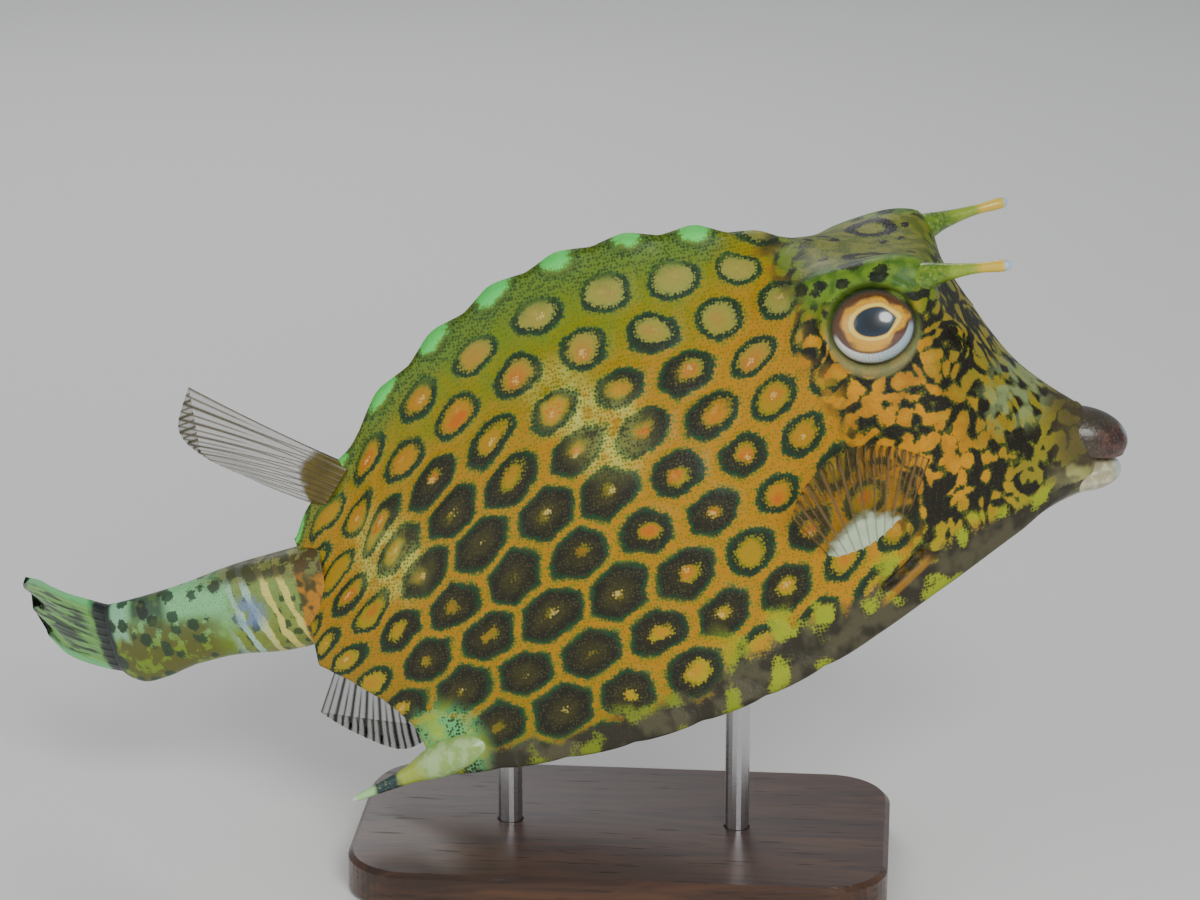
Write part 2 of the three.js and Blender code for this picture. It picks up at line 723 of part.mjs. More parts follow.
fish.add(named("dorsal_fin", dorsal.subtract(trunkRaised), skin.fin));
fish.add(named("anal_fin", anal.subtract(rumpRoom).subtract(tailStalk(gap)), skin.fin));
fish.add(named("tail_stalk", tailStalk(0), skin.tail));
fish.add(named("tail_fin", caudal, skin.fin));

// The stand, and the fish set on it

fish.rotation.y = -radians(bodyPitch);
fish.updateMatrixWorld(true);
const lowest = new THREE.Box3().setFromObject(fish, true).min.z;
fish.position.z = baseSize.height + clearOfBase - lowest;
fish.updateMatrixWorld(true);

function standBase(middleX) {
  const { length, width, height, corner } = baseSize;
  const [x, y] = [length / 2, width / 2];
  const outline = new THREE.Shape();
  outline.moveTo(-x + corner, -y);
  outline.absarc(x - corner, -y + corner, corner, -Math.PI / 2, 0);
  outline.absarc(x - corner, y - corner, corner, 0, Math.PI / 2);
  outline.absarc(-x + corner, y - corner, corner, Math.PI / 2, Math.PI);
  outline.absarc(-x + corner, -y + corner, corner, Math.PI, 1.5 * Math.PI);
  const bevel = 1.2;
  const geometry = new THREE.ExtrudeGeometry(outline, {
    depth: height - 2 * bevel,
    bevelThickness: bevel,
    bevelSize: bevel,
    bevelOffset: -bevel,
    bevelSegments: 1,
    curveSegments: 6,
  });
  return solid(geometry.translate(middleX, 0, bevel));
}

function rod(x, radius, bottom, top) {
  const geometry = new THREE.CylinderGeometry(radius, radius, top - bottom, 16);
  return solid(geometry.rotateX(Math.PI / 2).translate(x, 0, (bottom + top) / 2));
}

const belly = trunkRaised.transform(fish.matrixWorld.elements);
const stand = new THREE.Group();
const rodFeet = rodPlaces.map((along) => new THREE.Vector3(along, 0, 0).applyMatrix4(fish.matrixWorld).x);
const socketFloor = baseSize.height - rodSocketDepth;
let base = standBase((rodFeet[0] + rodFeet[1]) / 2);
rodFeet.forEach((x, i) => {
  base = base.subtract(rod(x, rodRadius + gap, socketFloor, baseSize.height + 1));
  const upright = rod(x, rodRadius, socketFloor + gap, rodUncut).subtract(belly);
  const lowestOf = (a, b) => (a.boundingBox().min[2] < b.boundingBox().min[2] ? a : b);
  const lowerPiece = upright.decompose().reduce(lowestOf);
  stand.add(named(`stand_rod_${i === 0 ? "rear" : "front"}`, lowerPiece, skin.steel));
});
stand.add(named("stand_base", base, skin.wood));

// Everything is moved so that the origin is the middle of the model's underside
const model = new THREE.Group();
model.add(fish, stand);
const box = new THREE.Box3().setFromObject(model, true);
const middle = box.getCenter(new THREE.Vector3());
for (const part of [fish, stand]) part.position.sub(new THREE.Vector3(middle.x, middle.y, box.min.z));
model.updateMatrixWorld(true);

export default model;
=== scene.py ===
import math

import bmesh
import bpy
import numpy as np
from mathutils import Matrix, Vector


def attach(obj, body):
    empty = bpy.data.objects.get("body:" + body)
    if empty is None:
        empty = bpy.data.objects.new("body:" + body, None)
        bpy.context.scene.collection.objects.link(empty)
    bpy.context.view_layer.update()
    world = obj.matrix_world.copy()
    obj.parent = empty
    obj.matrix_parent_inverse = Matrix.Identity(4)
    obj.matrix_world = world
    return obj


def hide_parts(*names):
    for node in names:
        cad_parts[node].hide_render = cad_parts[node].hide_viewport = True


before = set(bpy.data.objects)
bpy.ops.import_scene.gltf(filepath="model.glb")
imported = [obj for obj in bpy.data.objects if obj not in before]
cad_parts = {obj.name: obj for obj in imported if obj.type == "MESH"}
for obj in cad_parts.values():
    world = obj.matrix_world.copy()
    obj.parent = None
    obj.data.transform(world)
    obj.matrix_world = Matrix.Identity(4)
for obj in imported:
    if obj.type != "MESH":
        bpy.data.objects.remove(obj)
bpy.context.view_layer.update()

# The fish is measured in millimetres in a frame of its own: x from the root of the tail fin (0) to the lips
# (250), y to its left, z up. It is then pitched nose-up and lifted onto its stand.
fish = {
    "pitch": 13.0,
    "place": (-101.0322, -2.03462, 56.49551),
    "rump": 46.0,
    "snout": 238.0,
    "browRow": 2.0,
    "keelRow": 10.0,
    "bellyRow": 13.0,
}



def toWorld(points):
    # Fish millimetres to model metres
    pitch = math.radians(fish["pitch"])
    x, y, z = points[:, 0], points[:, 1], points[:, 2]
    ahead = x * math.cos(pitch) - z * math.sin(pitch)
    up = x * math.sin(pitch) + z * math.cos(pitch)
    return (np.stack([ahead, y, up], 1) + np.array(fish["place"])) / 1000


def profile(points):
    # Monotone cubic through the points, level beyond the two ends
    xs = np.array([p[0] for p in points], float)
    ys = np.array([p[1] for p in points], float)
    steps = np.diff(xs)
    secants = np.diff(ys) / steps
    slopes = np.zeros(len(xs))
    slopes[0], slopes[-1] = secants[0], secants[-1]
    for i in range(1, len(xs) - 1):
        before, after = secants[i - 1], secants[i]
        if before * after > 0:
            a, b = 2 * steps[i] + steps[i - 1], steps[i] + 2 * steps[i - 1]
            slopes[i] = (a + b) / (a / before + b / after)

    def at(x):
        x = np.clip(np.asarray(x, float), xs[0], xs[-1])
        i = np.clip(np.searchsorted(xs, x, side="right") - 1, 0, len(xs) - 2)
        t = (x - xs[i]) / steps[i]
        return (
            ys[i] * (2 * t**3 - 3 * t**2 + 1)
            + slopes[i] * steps[i] * (t**3 - 2 * t**2 + t)
            + ys[i + 1] * (3 * t**2 - 2 * t**3)
            + slopes[i + 1] * steps[i] * (t**3 - t**2)
        )

    return at


def eased(x, low, high):
    t = np.clip((np.asarray(x, float) - low) / (high - low), 0, 1)
    return t * t * (3 - 2 * t)


def bell(x, middle, width):
    return np.exp(-(((np.asarray(x, float) - middle) / width) ** 2))


# Camera

view = {"aim": (124.4, 0.0, 23.4), "azimuth": 5.0, "elevation": 18.0, "distance": 0.9, "lens": 111.9}


def makeCamera():
    azimuth, elevation = math.radians(view["azimuth"]), math.radians(view["elevation"])
    away = Vector((
        math.sin(azimuth) * math.cos(elevation),
        -math.cos(azimuth) * math.cos(elevation),
        math.sin(elevation),
    ))
    aim = Vector(toWorld(np.array([view["aim"]]))[0])
    lens = bpy.data.cameras.new("camera")
    lens.lens = view["lens"]
    lens.sensor_width = 36
    lens.clip_start, lens.clip_end = 0.01, 20
    camera = bpy.data.objects.new("camera", lens)
    camera.location = aim + away * view["distance"]
    camera.rotation_euler = (-away).to_track_quat("-Z", "Y").to_euler()
    bpy.context.scene.collection.objects.link(camera)
    bpy.context.scene.camera = camera


makeCamera()
print("camera made")


# Shader helpers

def paint(red, green, blue):
    # A screen colour, 0 to 255, as the linear colour that a shader takes
    def linear(value):
        value /= 255
        return value / 12.92 if value <= 0.04045 else ((value + 0.055) / 1.055) ** 2.4
    return (linear(red), linear(green), linear(blue), 1.0)


class Wire:
    # One output socket, with sums written as Python

    def __init__(self, recipe, socket):
        self.recipe, self.socket = recipe, socket

    def maths(self, operation, *values):
        return self.recipe.add("ShaderNodeMath", {"operation": operation}, dict(enumerate(values)))

    def __add__(self, other):
        return self.maths("ADD", self, other)

    def __radd__(self, other):
        return self.maths("ADD", other, self)

    def __sub__(self, other):
        return self.maths("SUBTRACT", self, other)

    def __rsub__(self, other):
        return self.maths("SUBTRACT", other, self)

    def __mul__(self, other):
        return self.maths("MULTIPLY", self, other)

    def __rmul__(self, other):
        return self.maths("MULTIPLY", other, self)

    def __truediv__(self, other):
        return self.maths("DIVIDE", self, other)

    def __pow__(self, other):
        return self.maths("POWER", self, other)

    def __abs__(self):
        return self.maths("ABSOLUTE", self)

    def fract(self):
        return self.maths("FRACT", self)

    def larger(self, other):
        return self.maths("MAXIMUM", self, other)

    def over(self, other):
        return self.maths("GREATER_THAN", self, other)

    def root(self):
        return self.maths("SQRT", self)

    def sine(self):
        return self.maths("SINE", self)

    def cosine(self):
        return self.maths("COSINE", self)


class Recipe:
    # A material and the nodes that make its finish. A name given for a colour is one of the recipe's tones,
    # which are screen colours.

    def __init__(self, name, tones=None, **constants):
        self.material = bpy.data.materials.new(name)
        self.material.use_nodes = True
        self.tree = self.material.node_tree
        self.shader = self.tree.nodes["Principled BSDF"]
        self.tones = tones or {}
        for socket, value in constants.items():
            self.shader.inputs[socket.replace("_", " ")].default_value = value

    def add(self, kind, settings=None, sockets=None, output=0):
        node = self.tree.nodes.new(kind)
        for name, value in (settings or {}).items():
            setattr(node, name, value)
        for name, value in (sockets or {}).items():
            self.feed(node.inputs[name], value)
        return Wire(self, node.outputs[output])

    def feed(self, socket, value):
        if isinstance(value, Wire):
            self.tree.links.new(value.socket, socket)
        else:
            socket.default_value = paint(*self.tones[value]) if isinstance(value, str) else value

    def parts(self, vector):
        split = self.add("ShaderNodeSeparateXYZ", {}, {0: vector})
        return [split] + [Wire(self, split.socket.node.outputs[i]) for i in (1, 2)]

    def uv(self, name="UVMap"):
        return self.parts(self.add("ShaderNodeUVMap", {"uv_map": name}))[:2]

    def joined(self, x, y, z=0.0):
        return self.add("ShaderNodeCombineXYZ", {}, {0: x, 1: y, 2: z})

    def scaled(self, *scale, turn=(0, 0, 0)):
        # The piece's own coordinates, stretched and turned
        where = self.add("ShaderNodeTexCoord", {}, {}, "Object")
        return self.add("ShaderNodeMapping", {}, {"Vector": where, "Scale": scale, "Rotation": turn})

    def fishPlace(self):
        # The piece's own coordinates turned back into fish millimetres
        where = self.add("ShaderNodeTexCoord", {}, {}, "Object")
        pitch = math.radians(fish["pitch"])
        cosine, sine = math.cos(pitch), math.sin(pitch)
        x, y, z = fish["place"]
        back = (-(x * cosine + z * sine), -y, -(z * cosine - x * sine))
        return self.add("ShaderNodeMapping", {}, {
            "Vector": where, "Location": back, "Rotation": (0, pitch, 0), "Scale": (1000, 1000, 1000),
        })

    def noise(self, vector, size, detail=2.0, rough=0.5, warp=0.0):
        return self.add("ShaderNodeTexNoise", {}, {
            "Vector": vector, "Scale": 1 / size, "Detail": detail, "Roughness": rough, "Distortion": warp,
        })

    def noiseColour(self, vector, size):
        return self.add("ShaderNodeTexNoise", {}, {"Vector": vector, "Scale": 1 / size, "Detail": 2.0}, 1)

    def cells(self, vector, size, randomness=1.0):
        sockets = {"Vector": vector, "Scale": 1 / size, "Randomness": randomness}
        return self.add("ShaderNodeTexVoronoi", {}, sockets)

    def grain(self, place):
        # Fine round grains, which stipple the borders of the markings
        return self.band(self.cells(place, 0.75, 0.6), 0.12, 0.75)

    def pushed(self, vector, size, amount):
        # The vector pushed about by a soft noise, which is centred on a half
        noise = self.noiseColour(vector, size)
        centred = self.add("ShaderNodeVectorMath", {"operation": "SUBTRACT"}, {0: noise, 1: (0.5, 0.5, 0.5)})
        scaled = self.add("ShaderNodeVectorMath", {"operation": "SCALE"}, {0: centred, "Scale": amount})
        return self.add("ShaderNodeVectorMath", {"operation": "ADD"}, {0: vector, 1: scaled})

    def band(self, value, low, high):
        # 0 below low and 1 above high, or the reverse where low is the larger
        sockets = {"Value": value, "From Min": min(low, high), "From Max": max(low, high)}
        if low > high:
            sockets.update({"To Min": 1.0, "To Max": 0.0})
        return self.add("ShaderNodeMapRange", {"interpolation_type": "SMOOTHSTEP"}, sockets)

    def spot(self, parts, x, z, radius, soft=0.5):
        # 1 within a round patch of the fish's side, whichever the flank
        return self.band(span((parts[0] - x) / radius, (parts[2] - z) / radius), 1 + soft, 1 - soft)

    def patches(self, parts, places):
        # Round patches added up, each with its own strength
        return sum(self.spot(parts, *where) * strength for where, strength in places)

    def layers(self, colour, *coats):
        # Coats of colour over one another, each let through by its own mask
        for mask, coat in coats:
            settings = {"data_type": "RGBA", "clamp_factor": True}
            colour = self.add("ShaderNodeMix", settings, {0: mask, 6: colour, 7: coat}, 2)
        return colour

    def bump(self, height, distance, strength):
        return self.add("ShaderNodeBump", {}, {"Height": height, "Distance": distance, "Strength": strength})

    def finish(self, **sockets):
        for name, value in sockets.items():
            self.feed(self.shader.inputs[name.replace("_", " ")], value)
        return self.material


def span(across, up, weight=1.0):
    # How far from the middle, with the second way counted at its weight
    return (across * across + up * up * weight).root()


def fleshy(weight, radius):
    # Light that sinks a few millimetres into skin
    return {"Subsurface_Weight": weight, "Subsurface_Radius": radius, "Subsurface_Scale": 1.0}


# Mesh helpers

def wrapGrid(name, acrossCount, alongCount, place, maps=None, closeEnds=True):
    # A grid sheet laid over a surface: place() takes u across and v along, 0 to 1, and gives fish millimetres
    maps = maps or {"UVMap": lambda u, v: np.stack([u, v], 1)}
    sheet = bmesh.new()
    layers = {key: sheet.loops.layers.uv.new(key) for key in maps}
    bmesh.ops.create_grid(sheet, x_segments=acrossCount, y_segments=alongCount, size=1)
    flat = np.array([(v.co.x, v.co.y) for v in sheet.verts])
    u, v = (flat[:, 0] + 1) / 2, (flat[:, 1] + 1) / 2
    where = toWorld(place(u, v))
    values = {key: give(u, v) for key, give in maps.items()}
    for face in sheet.faces:
        for loop in face.loops:
            for key, layer in layers.items():
                loop[layer].uv = values[key][loop.vert.index]
    for vert, co in zip(sheet.verts, where):
        vert.co = co
    bmesh.ops.remove_doubles(sheet, verts=sheet.verts, dist=2e-6)
    bmesh.ops.dissolve_degenerate(sheet, dist=1e-7, edges=sheet.edges)
    if closeEnds:
        rims = [edge for edge in sheet.edges if edge.is_boundary]
        bmesh.ops.holes_fill(sheet, edges=rims, sides=0)
    bmesh.ops.recalc_face_normals(sheet, faces=sheet.faces)
    return settle(name, sheet)


def settle(name, sheet, smooth=True):
    mesh = bpy.data.meshes.new(name)
    sheet.to_mesh(mesh)
    sheet.free()
    for polygon in mesh.polygons:
        polygon.use_smooth = smooth
    piece = bpy.data.objects.new(name, mesh)
    bpy.context.scene.collection.objects.link(piece)
    return piece


def dress(piece, material, nodes=()):
    piece.data.materials.clear()
    piece.data.materials.append(material)
    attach(piece, "root")
    if nodes:
        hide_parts(*nodes)


# Shell of the fish: the same sections as the solids

shell = {
    "back": profile([
        (38, 11), (46, 16), (52, 24), (65, 35.5), (69, 41.2), (82, 52.2), (96, 61.5), (118, 70.6),
        (137, 73.5), (156, 72.3), (181, 65.5), (197, 60.5), (211, 57), (217.3, 44.5), (221.6, 34),
        (226, 25.5), (232, 18.5), (238, 12.8), (242, 9),
    ]),
    "brow": profile([
        (150, 52), (164, 56), (179, 59.4), (197, 61.4), (208.5, 59.6), (213, 47), (219, 33), (225, 23.5),
        (232, 16), (238, 10), (242, 6),
    ]),
    "browWidth": profile([
        (150, 12), (179, 20), (197, 22.5), (209, 23), (214, 19.5), (225, 12), (238, 5.5), (242, 4),
    ]),
    "keel": profile([
        (38, -39.5), (85, -39), (123, -36.7), (148, -33.2), (174, -26.9), (201, -17.2), (228, -8.6),
        (238, -7), (242, -6.5),
    ]),
    "keelWidth": profile([
        (38, 9), (46, 14), (62, 26), (76, 33), (98, 38), (123, 41), (148, 40), (174, 36), (188, 32.5),
        (201, 27.5), (215, 20.5), (228, 12.5), (238, 6), (242, 4),
    ]),
    "flankBulge": profile([(38, 2), (76, 5), (123, 7.5), (174, 6.5), (200, 5)]),
    "cheekBulge": profile([(170, 6), (197, 6.5), (215, 4.5), (238, 2)]),
    "bellySag": profile([(38, 1), (123, 3.5), (200, 2.5), (238, 2)]),
    "plateLength": profile([(38, 12.5), (80, 15.7), (130, 17), (178, 14.6), (205, 13.4)]),
    "plateLean": profile([(0, 4), (2.5, 1), (4, 6.5), (10, 15)]),
    "firstPlate": 32.0,
    "trunkBlend": (150, 190),
    "snoutBlend": (220, 238),
}


def shellSection(x, row):
    girth = np.abs(row)
    back, brow, keel = shell["back"](x), shell["brow"](x), shell["keel"](x)
    browWidth, keelWidth = shell["browWidth"](x), shell["keelWidth"](x)

    def chord(y0, z0, y1, z1, share, swell):
        y, z = y1 - y0, z1 - z0
        length = np.hypot(y, z) + 1e-9
        return y0 + y * share - z / length * swell, z0 + z * share + y / length * swell

    share = np.clip(girth / fish["keelRow"], 0, 1)
    swell = shell["flankBulge"](x) * (np.sin(np.pi * share) - 0.18 * np.sin(3 * np.pi * share))
    trunkY, trunkZ = chord(0, back, keelWidth, keel, share, swell)

    crown = np.clip(girth / fish["browRow"], 0, 1)
    share = np.clip((girth - fish["browRow"]) / (fish["keelRow"] - fish["browRow"]), 0, 1)
    swell = shell["cheekBulge"](x) * np.sin(np.pi * share**0.9)
    cheekY, cheekZ = chord(browWidth, brow, keelWidth, keel, share, swell)
    onCrown = girth <= fish["browRow"]
    headY = np.where(onCrown, browWidth * crown, cheekY)
    headZ = np.where(onCrown, back + (brow - back) * crown**1.7, cheekZ)

    blend = eased(x, *shell["trunkBlend"])
    y = trunkY + (headY - trunkY) * blend
    z = trunkZ + (headZ - trunkZ) * blend

    share = np.clip((girth - fish["keelRow"]) / (fish["bellyRow"] - fish["keelRow"]), 0, 1)
    under = girth > fish["keelRow"]
    y = np.where(under, keelWidth * (1 - share), y)
    z = np.where(under, keel - shell["bellySag"](x) * np.sin(np.pi / 2 * share), z)

    blend = eased(x, *shell["snoutBlend"])
    bottom = keel - shell["bellySag"](x)
    turn = np.pi * girth / fish["bellyRow"]
    roundY = ((browWidth + keelWidth) / 2 + shell["cheekBulge"](x)) * np.sin(turn)
    roundZ = (back + bottom) / 2 + (back - bottom) / 2 * np.cos(turn)
    return y + (roundY - y) * blend, z + (roundZ - z) * blend


def shellPoint(x, row):
    y, z = shellSection(x, row)
    side = np.where(row < 0, 1.0, -1.0)
    return np.stack([x, side * y, z], 1)


def wrapRow(row):
    belly = fish["bellyRow"]
    return (row + belly) % (2 * belly) - belly


def shellNormal(x, row):
    alongX = shellPoint(x + 0.4, row) - shellPoint(x - 0.4, row)
    alongRow = shellPoint(x, wrapRow(row + 0.12)) - shellPoint(x, wrapRow(row - 0.12))
    normal = np.cross(alongRow, alongX)
    return normal / (np.linalg.norm(normal, axis=1, keepdims=True) + 1e-9)


def rowAtHeight(x, z):
    low, high = fish["browRow"], fish["keelRow"]
    for _ in range(30):
        middle = (low + high) / 2
        if shellSection(np.array([x]), np.array([middle]))[1][0] > z:
            low = middle
        else:
            high = middle
    return low


def plateColumn(x, row):
    # The number of plates from the rump to this place, which the pattern and the relief both use
    halves = [shell["firstPlate"]]
    while halves[-1] < 260:
        halves.append(halves[-1] + float(shell["plateLength"](halves[-1])) / 2)
    straight = x + shell["plateLean"](np.abs(row))
    return np.interp(straight, halves, np.arange(len(halves)) / 2)


# What a step over one row counts for, squared, beside a step of one plate along the row
rowWeight = 0.75


def plateShare(column, row):
    # 0 at the middle of a plate and 0.5 at its edge
    evenU = np.mod(column, 1) - 0.5
    evenV = 2 * (np.mod(row / 2 + 0.5, 1) - 0.5)
    oddU = np.mod(column + 0.5, 1) - 0.5
    oddV = 2 * (np.mod(row / 2, 1) - 0.5)
    odd = oddU**2 + rowWeight * oddV**2 < evenU**2 + rowWeight * evenV**2
    u, v = np.where(odd, oddU, evenU), np.where(odd, oddV, evenV)
    return np.maximum(np.abs(u), np.abs(u) / 2 + rowWeight * np.abs(v))


# The skin over head and carapace

# Places on the side are x, z and radius, and how soft the edge is where that is given
skin = {
    "stations": 300,
    "girth": 318,
    "rumpShare": 0.07,
    "snoutShare": 0.03,
    "plateRise": 0.35,
    "plateGroove": 0.15,
    "ridgeRise": 1.15,
    "noseLength": 3.0,
    "eye": {"x": 197.0, "z": 48.2, "width": 10.2, "height": 9.0, "depth": 5.5, "rim": 0.9, "brow": 0.8},
    "nostrils": {"places": [(214.5, 40.0), (216.6, 37.5)], "rim": 0.5, "depth": 1.3},
    "hornRoot": {"x": 205.0, "y": 21.0, "z": 55.5, "rise": 2.4, "reach": 7.0},
    "gill": {"x": 192.6, "z": -10.0, "turn": 30.0, "length": 7.2, "width": 0.9, "depth": 2.4, "rim": 0.6},
    "cell": {"reach": 0.392, "ring": 0.09, "darkReach": 0.068, "darkRing": 0.31},
    "crownRing": {"x": 198.5, "y": 12.5, "inner": (2.6, 3.2), "outer": (5.4, 4.8)},
    "darkPatches": [((100, -4, 36, 0.4), 0.42), ((143, 38, 15), 0.45), ((70, 11, 11), -0.4)],
    # The pale patches on the side here are painted soft highlights
    "paintedHighlightPatches": [((71, 12, 9), 1.0), ((131, 34, 9), 1.0), ((120, 43, 7), 0.7)],
    "spineRoot": (77, -32.5, 9, 0.45),
    "snoutPatch": (226, 22, 7.5),
    "tones": {
        "web": (184, 132, 0), "webUpper": (112, 134, 6), "webFront": (204, 140, 0),
        "webLower": (132, 116, 8),
        "webGrain": (92, 104, 4), "webEdge": (112, 124, 4),
        "ring": (32, 30, 16), "ringGrain": (90, 90, 46), "ringMiddle": (84, 80, 24),
        "ringGreen": (26, 54, 26),
        "fringe": (22, 72, 34), "fringeGrain": (104, 136, 34),
        "heart": (190, 130, 0), "heartOlive": (170, 138, 0), "heartEdge": (96, 120, 8),
        "heartUpper": (146, 160, 76),
        "heartLower": (190, 172, 24), "heartDark": (92, 88, 14), "blush": (204, 96, 0),
        "dot": (226, 200, 110),
        "paintedHighlight": (206, 216, 104), "crest": (50, 76, 26), "crestGrain": (96, 130, 40),
        "knob": (48, 224, 112), "knobYellow": (120, 238, 92),
        "keel": (50, 46, 32), "keelPale": (84, 80, 56), "keelLime": (136, 152, 22), "lime": (164, 176, 22),
        "belly": (164, 164, 148), "bellyPale": (198, 196, 178), "root": (112, 200, 124),
        "rootYellow": (172, 206, 72),
        "orange": (216, 148, 0), "orangeDeep": (176, 116, 0), "orangeCore": (222, 164, 30),
        "orangeCheek": (166, 160, 20), "orangeSnout": (134, 136, 34), "orangeBrow": (104, 132, 16),
        "orangeGrain": (128, 100, 6), "brown": (26, 22, 8), "brownGrain": (84, 74, 20),
        "brownBrow": (30, 50, 22),
        "mazeLime": (78, 92, 14), "crown": (92, 104, 14), "crownPale": (124, 128, 34),
        "crownDark": (12, 18, 8),
        "brow": (64, 108, 18), "browPale": (112, 146, 34), "browDark": (16, 30, 12),
        "snout": (52, 46, 30), "snoutPale": (96, 84, 52), "snoutPatch": (146, 164, 104),
        "chin": (186, 184, 110), "chinDark": (120, 116, 80), "lid": (136, 134, 84),
        "lidUpper": (74, 98, 30),
        "slope": (140, 136, 70), "slopeDark": (84, 80, 30), "mouth": (176, 166, 128),
        "mouthUpper": (84, 52, 42),
        "gillEdge": (190, 132, 0), "gillSlitShade": (40, 30, 8),
    },
}

rumpLine = profile([
    (46, -13.8), (54, -17.3), (60, -20.4), (66, -24.6), (70.5, -31), (72.5, -39.5), (74.5, -48),
])
rowShares = profile([
    (0, -13), (0.1, -9.6), (0.31, -5), (0.47, -1.7), (0.5, 0), (0.53, 1.7), (0.69, 5), (0.9, 9.6), (1, 13),
])
stationShares = profile([(0, 0), (0.5, 0.62), (0.76, 0.79), (0.9, 0.91), (1, 1)])


def rumpStart(row):
    # How far forward the rump slope cuts the shell at each row
    low = np.full(row.shape, fish["rump"])
    high = np.full(row.shape, fish["rump"] + 30)
    for _ in range(24):
        middle = (low + high) / 2
        cut = shellSection(middle, row)[1] < rumpLine(middle)
        low, high = np.where(cut, middle, low), np.where(cut, high, middle)
    return np.where(shellSection(low, row)[1] < rumpLine(fish["rump"]), low, fish["rump"])


def skinX(u, row):
    between = 1 - skin["rumpShare"] - skin["snoutShare"]
    along = stationShares(np.clip((u - skin["rumpShare"]) / between, 0, 1))
    start = rumpStart(row)
    return start + (fish["snout"] - start) * along


def skinRelief(x, row, points):
    girth, height = np.abs(row), points[:, 2]
    share = plateShare(plateColumn(x, row), row)
    dome = skin["plateRise"] * (1 - (share / 0.5) ** 2)
    knob = skin["ridgeRise"] * bell(share, 0, 0.26) * bell(girth, 0, 0.5)
    groove = skin["plateGroove"] * eased(share, 0.3, 0.5)
    lift = (1 - eased(x, 165, 188)) * eased(x, 44, 54) * (dome + knob - groove)

    eye = skin["eye"]
    fromEye = np.hypot((x - eye["x"]) / eye["width"], (height - eye["z"]) / eye["height"])
    brow = eye["brow"] * bell(x, eye["x"] - 1, 10) * bell(height, eye["z"] + eye["height"] + 1.8, 2.6)
    rim = eye["rim"] * bell(fromEye, 1.13, 0.11) - eye["depth"] * (1 - eased(fromEye, 0.9, 1.0))
    lift += np.where((girth > 1.2) & (girth < 8), rim + brow, 0)

    holes = skin["nostrils"]
    for nx, nz in holes["places"]:
        near = np.hypot(x - nx, height - nz)
        hole = holes["rim"] * bell(near, 1.5, 0.6) - holes["depth"] * bell(near, 0, 0.8)
        lift += np.where(girth > 1.5, hole, 0)

    horn = skin["hornRoot"]
    aside = np.abs(points[:, 1]) - horn["y"]
    near = np.sqrt(((x - horn["x"]) / 1.35) ** 2 + aside**2 + (height - horn["z"]) ** 2)
    lift += horn["rise"] * bell(near, 0, horn["reach"])

    gill = skin["gill"]
    turn = math.radians(gill["turn"])
    ahead, up = x - gill["x"], height - gill["z"]
    along = ahead * math.cos(turn) + up * math.sin(turn)
    across = up * math.cos(turn) - ahead * math.sin(turn)
    inSlit = 1 - eased(np.abs(along), gill["length"] - 2, gill["length"])
    slit = gill["rim"] * bell(across, -1.8, 1.0) - gill["depth"] * bell(across, 0, gill["width"])
    lift += np.where((girth > 4) & (girth < 10), inSlit * slit, 0)
    return lift


def skinEnds(u):
    # How far into the rump slope, and into the snout's end
    inward = 1 - u / skin["rumpShare"]
    capped = (u - 1 + skin["snoutShare"]) / skin["snoutShare"]
    return np.clip(inward, 0, 1), np.clip(capped, 0, 1)


def skinPlace(u, v):
    row = rowShares(v)
    x = skinX(u, row)
    points = shellPoint(x, row)
    points = points + shellNormal(x, row) * skinRelief(x, row, points)[:, None]
    inward, capped = skinEnds(u)
    narrowing = np.cos(np.pi / 2 * capped)
    points[:, 1] *= (1 - inward) * narrowing
    middle = float(shell["back"](fish["snout"]) + shell["keel"](fish["snout"])) / 2
    points[:, 2] = middle + (points[:, 2] - middle) * narrowing
    points[:, 0] += skin["noseLength"] * np.sin(np.pi / 2 * capped)
    # The rump's rim is rounded over, and the slope within it is a shallow dish
    rim = 1.4 * (1 - (1 - np.clip(inward * 7, 0, 1)) ** 2)
    dish = 2.2 * (1 - inward) * np.clip(inward * 2, 0, 1)
    points[:, 0] -= np.where(inward > 0, 0.25 * (rim - dish), 0)
    points[:, 1] = np.where(np.abs(row) >= fish["bellyRow"] - 1e-6, 0, points[:, 1])
    return points


def skinColumns(u, v):
    row = rowShares(v)
    return np.stack([plateColumn(skinX(u, row), row), row], 1)


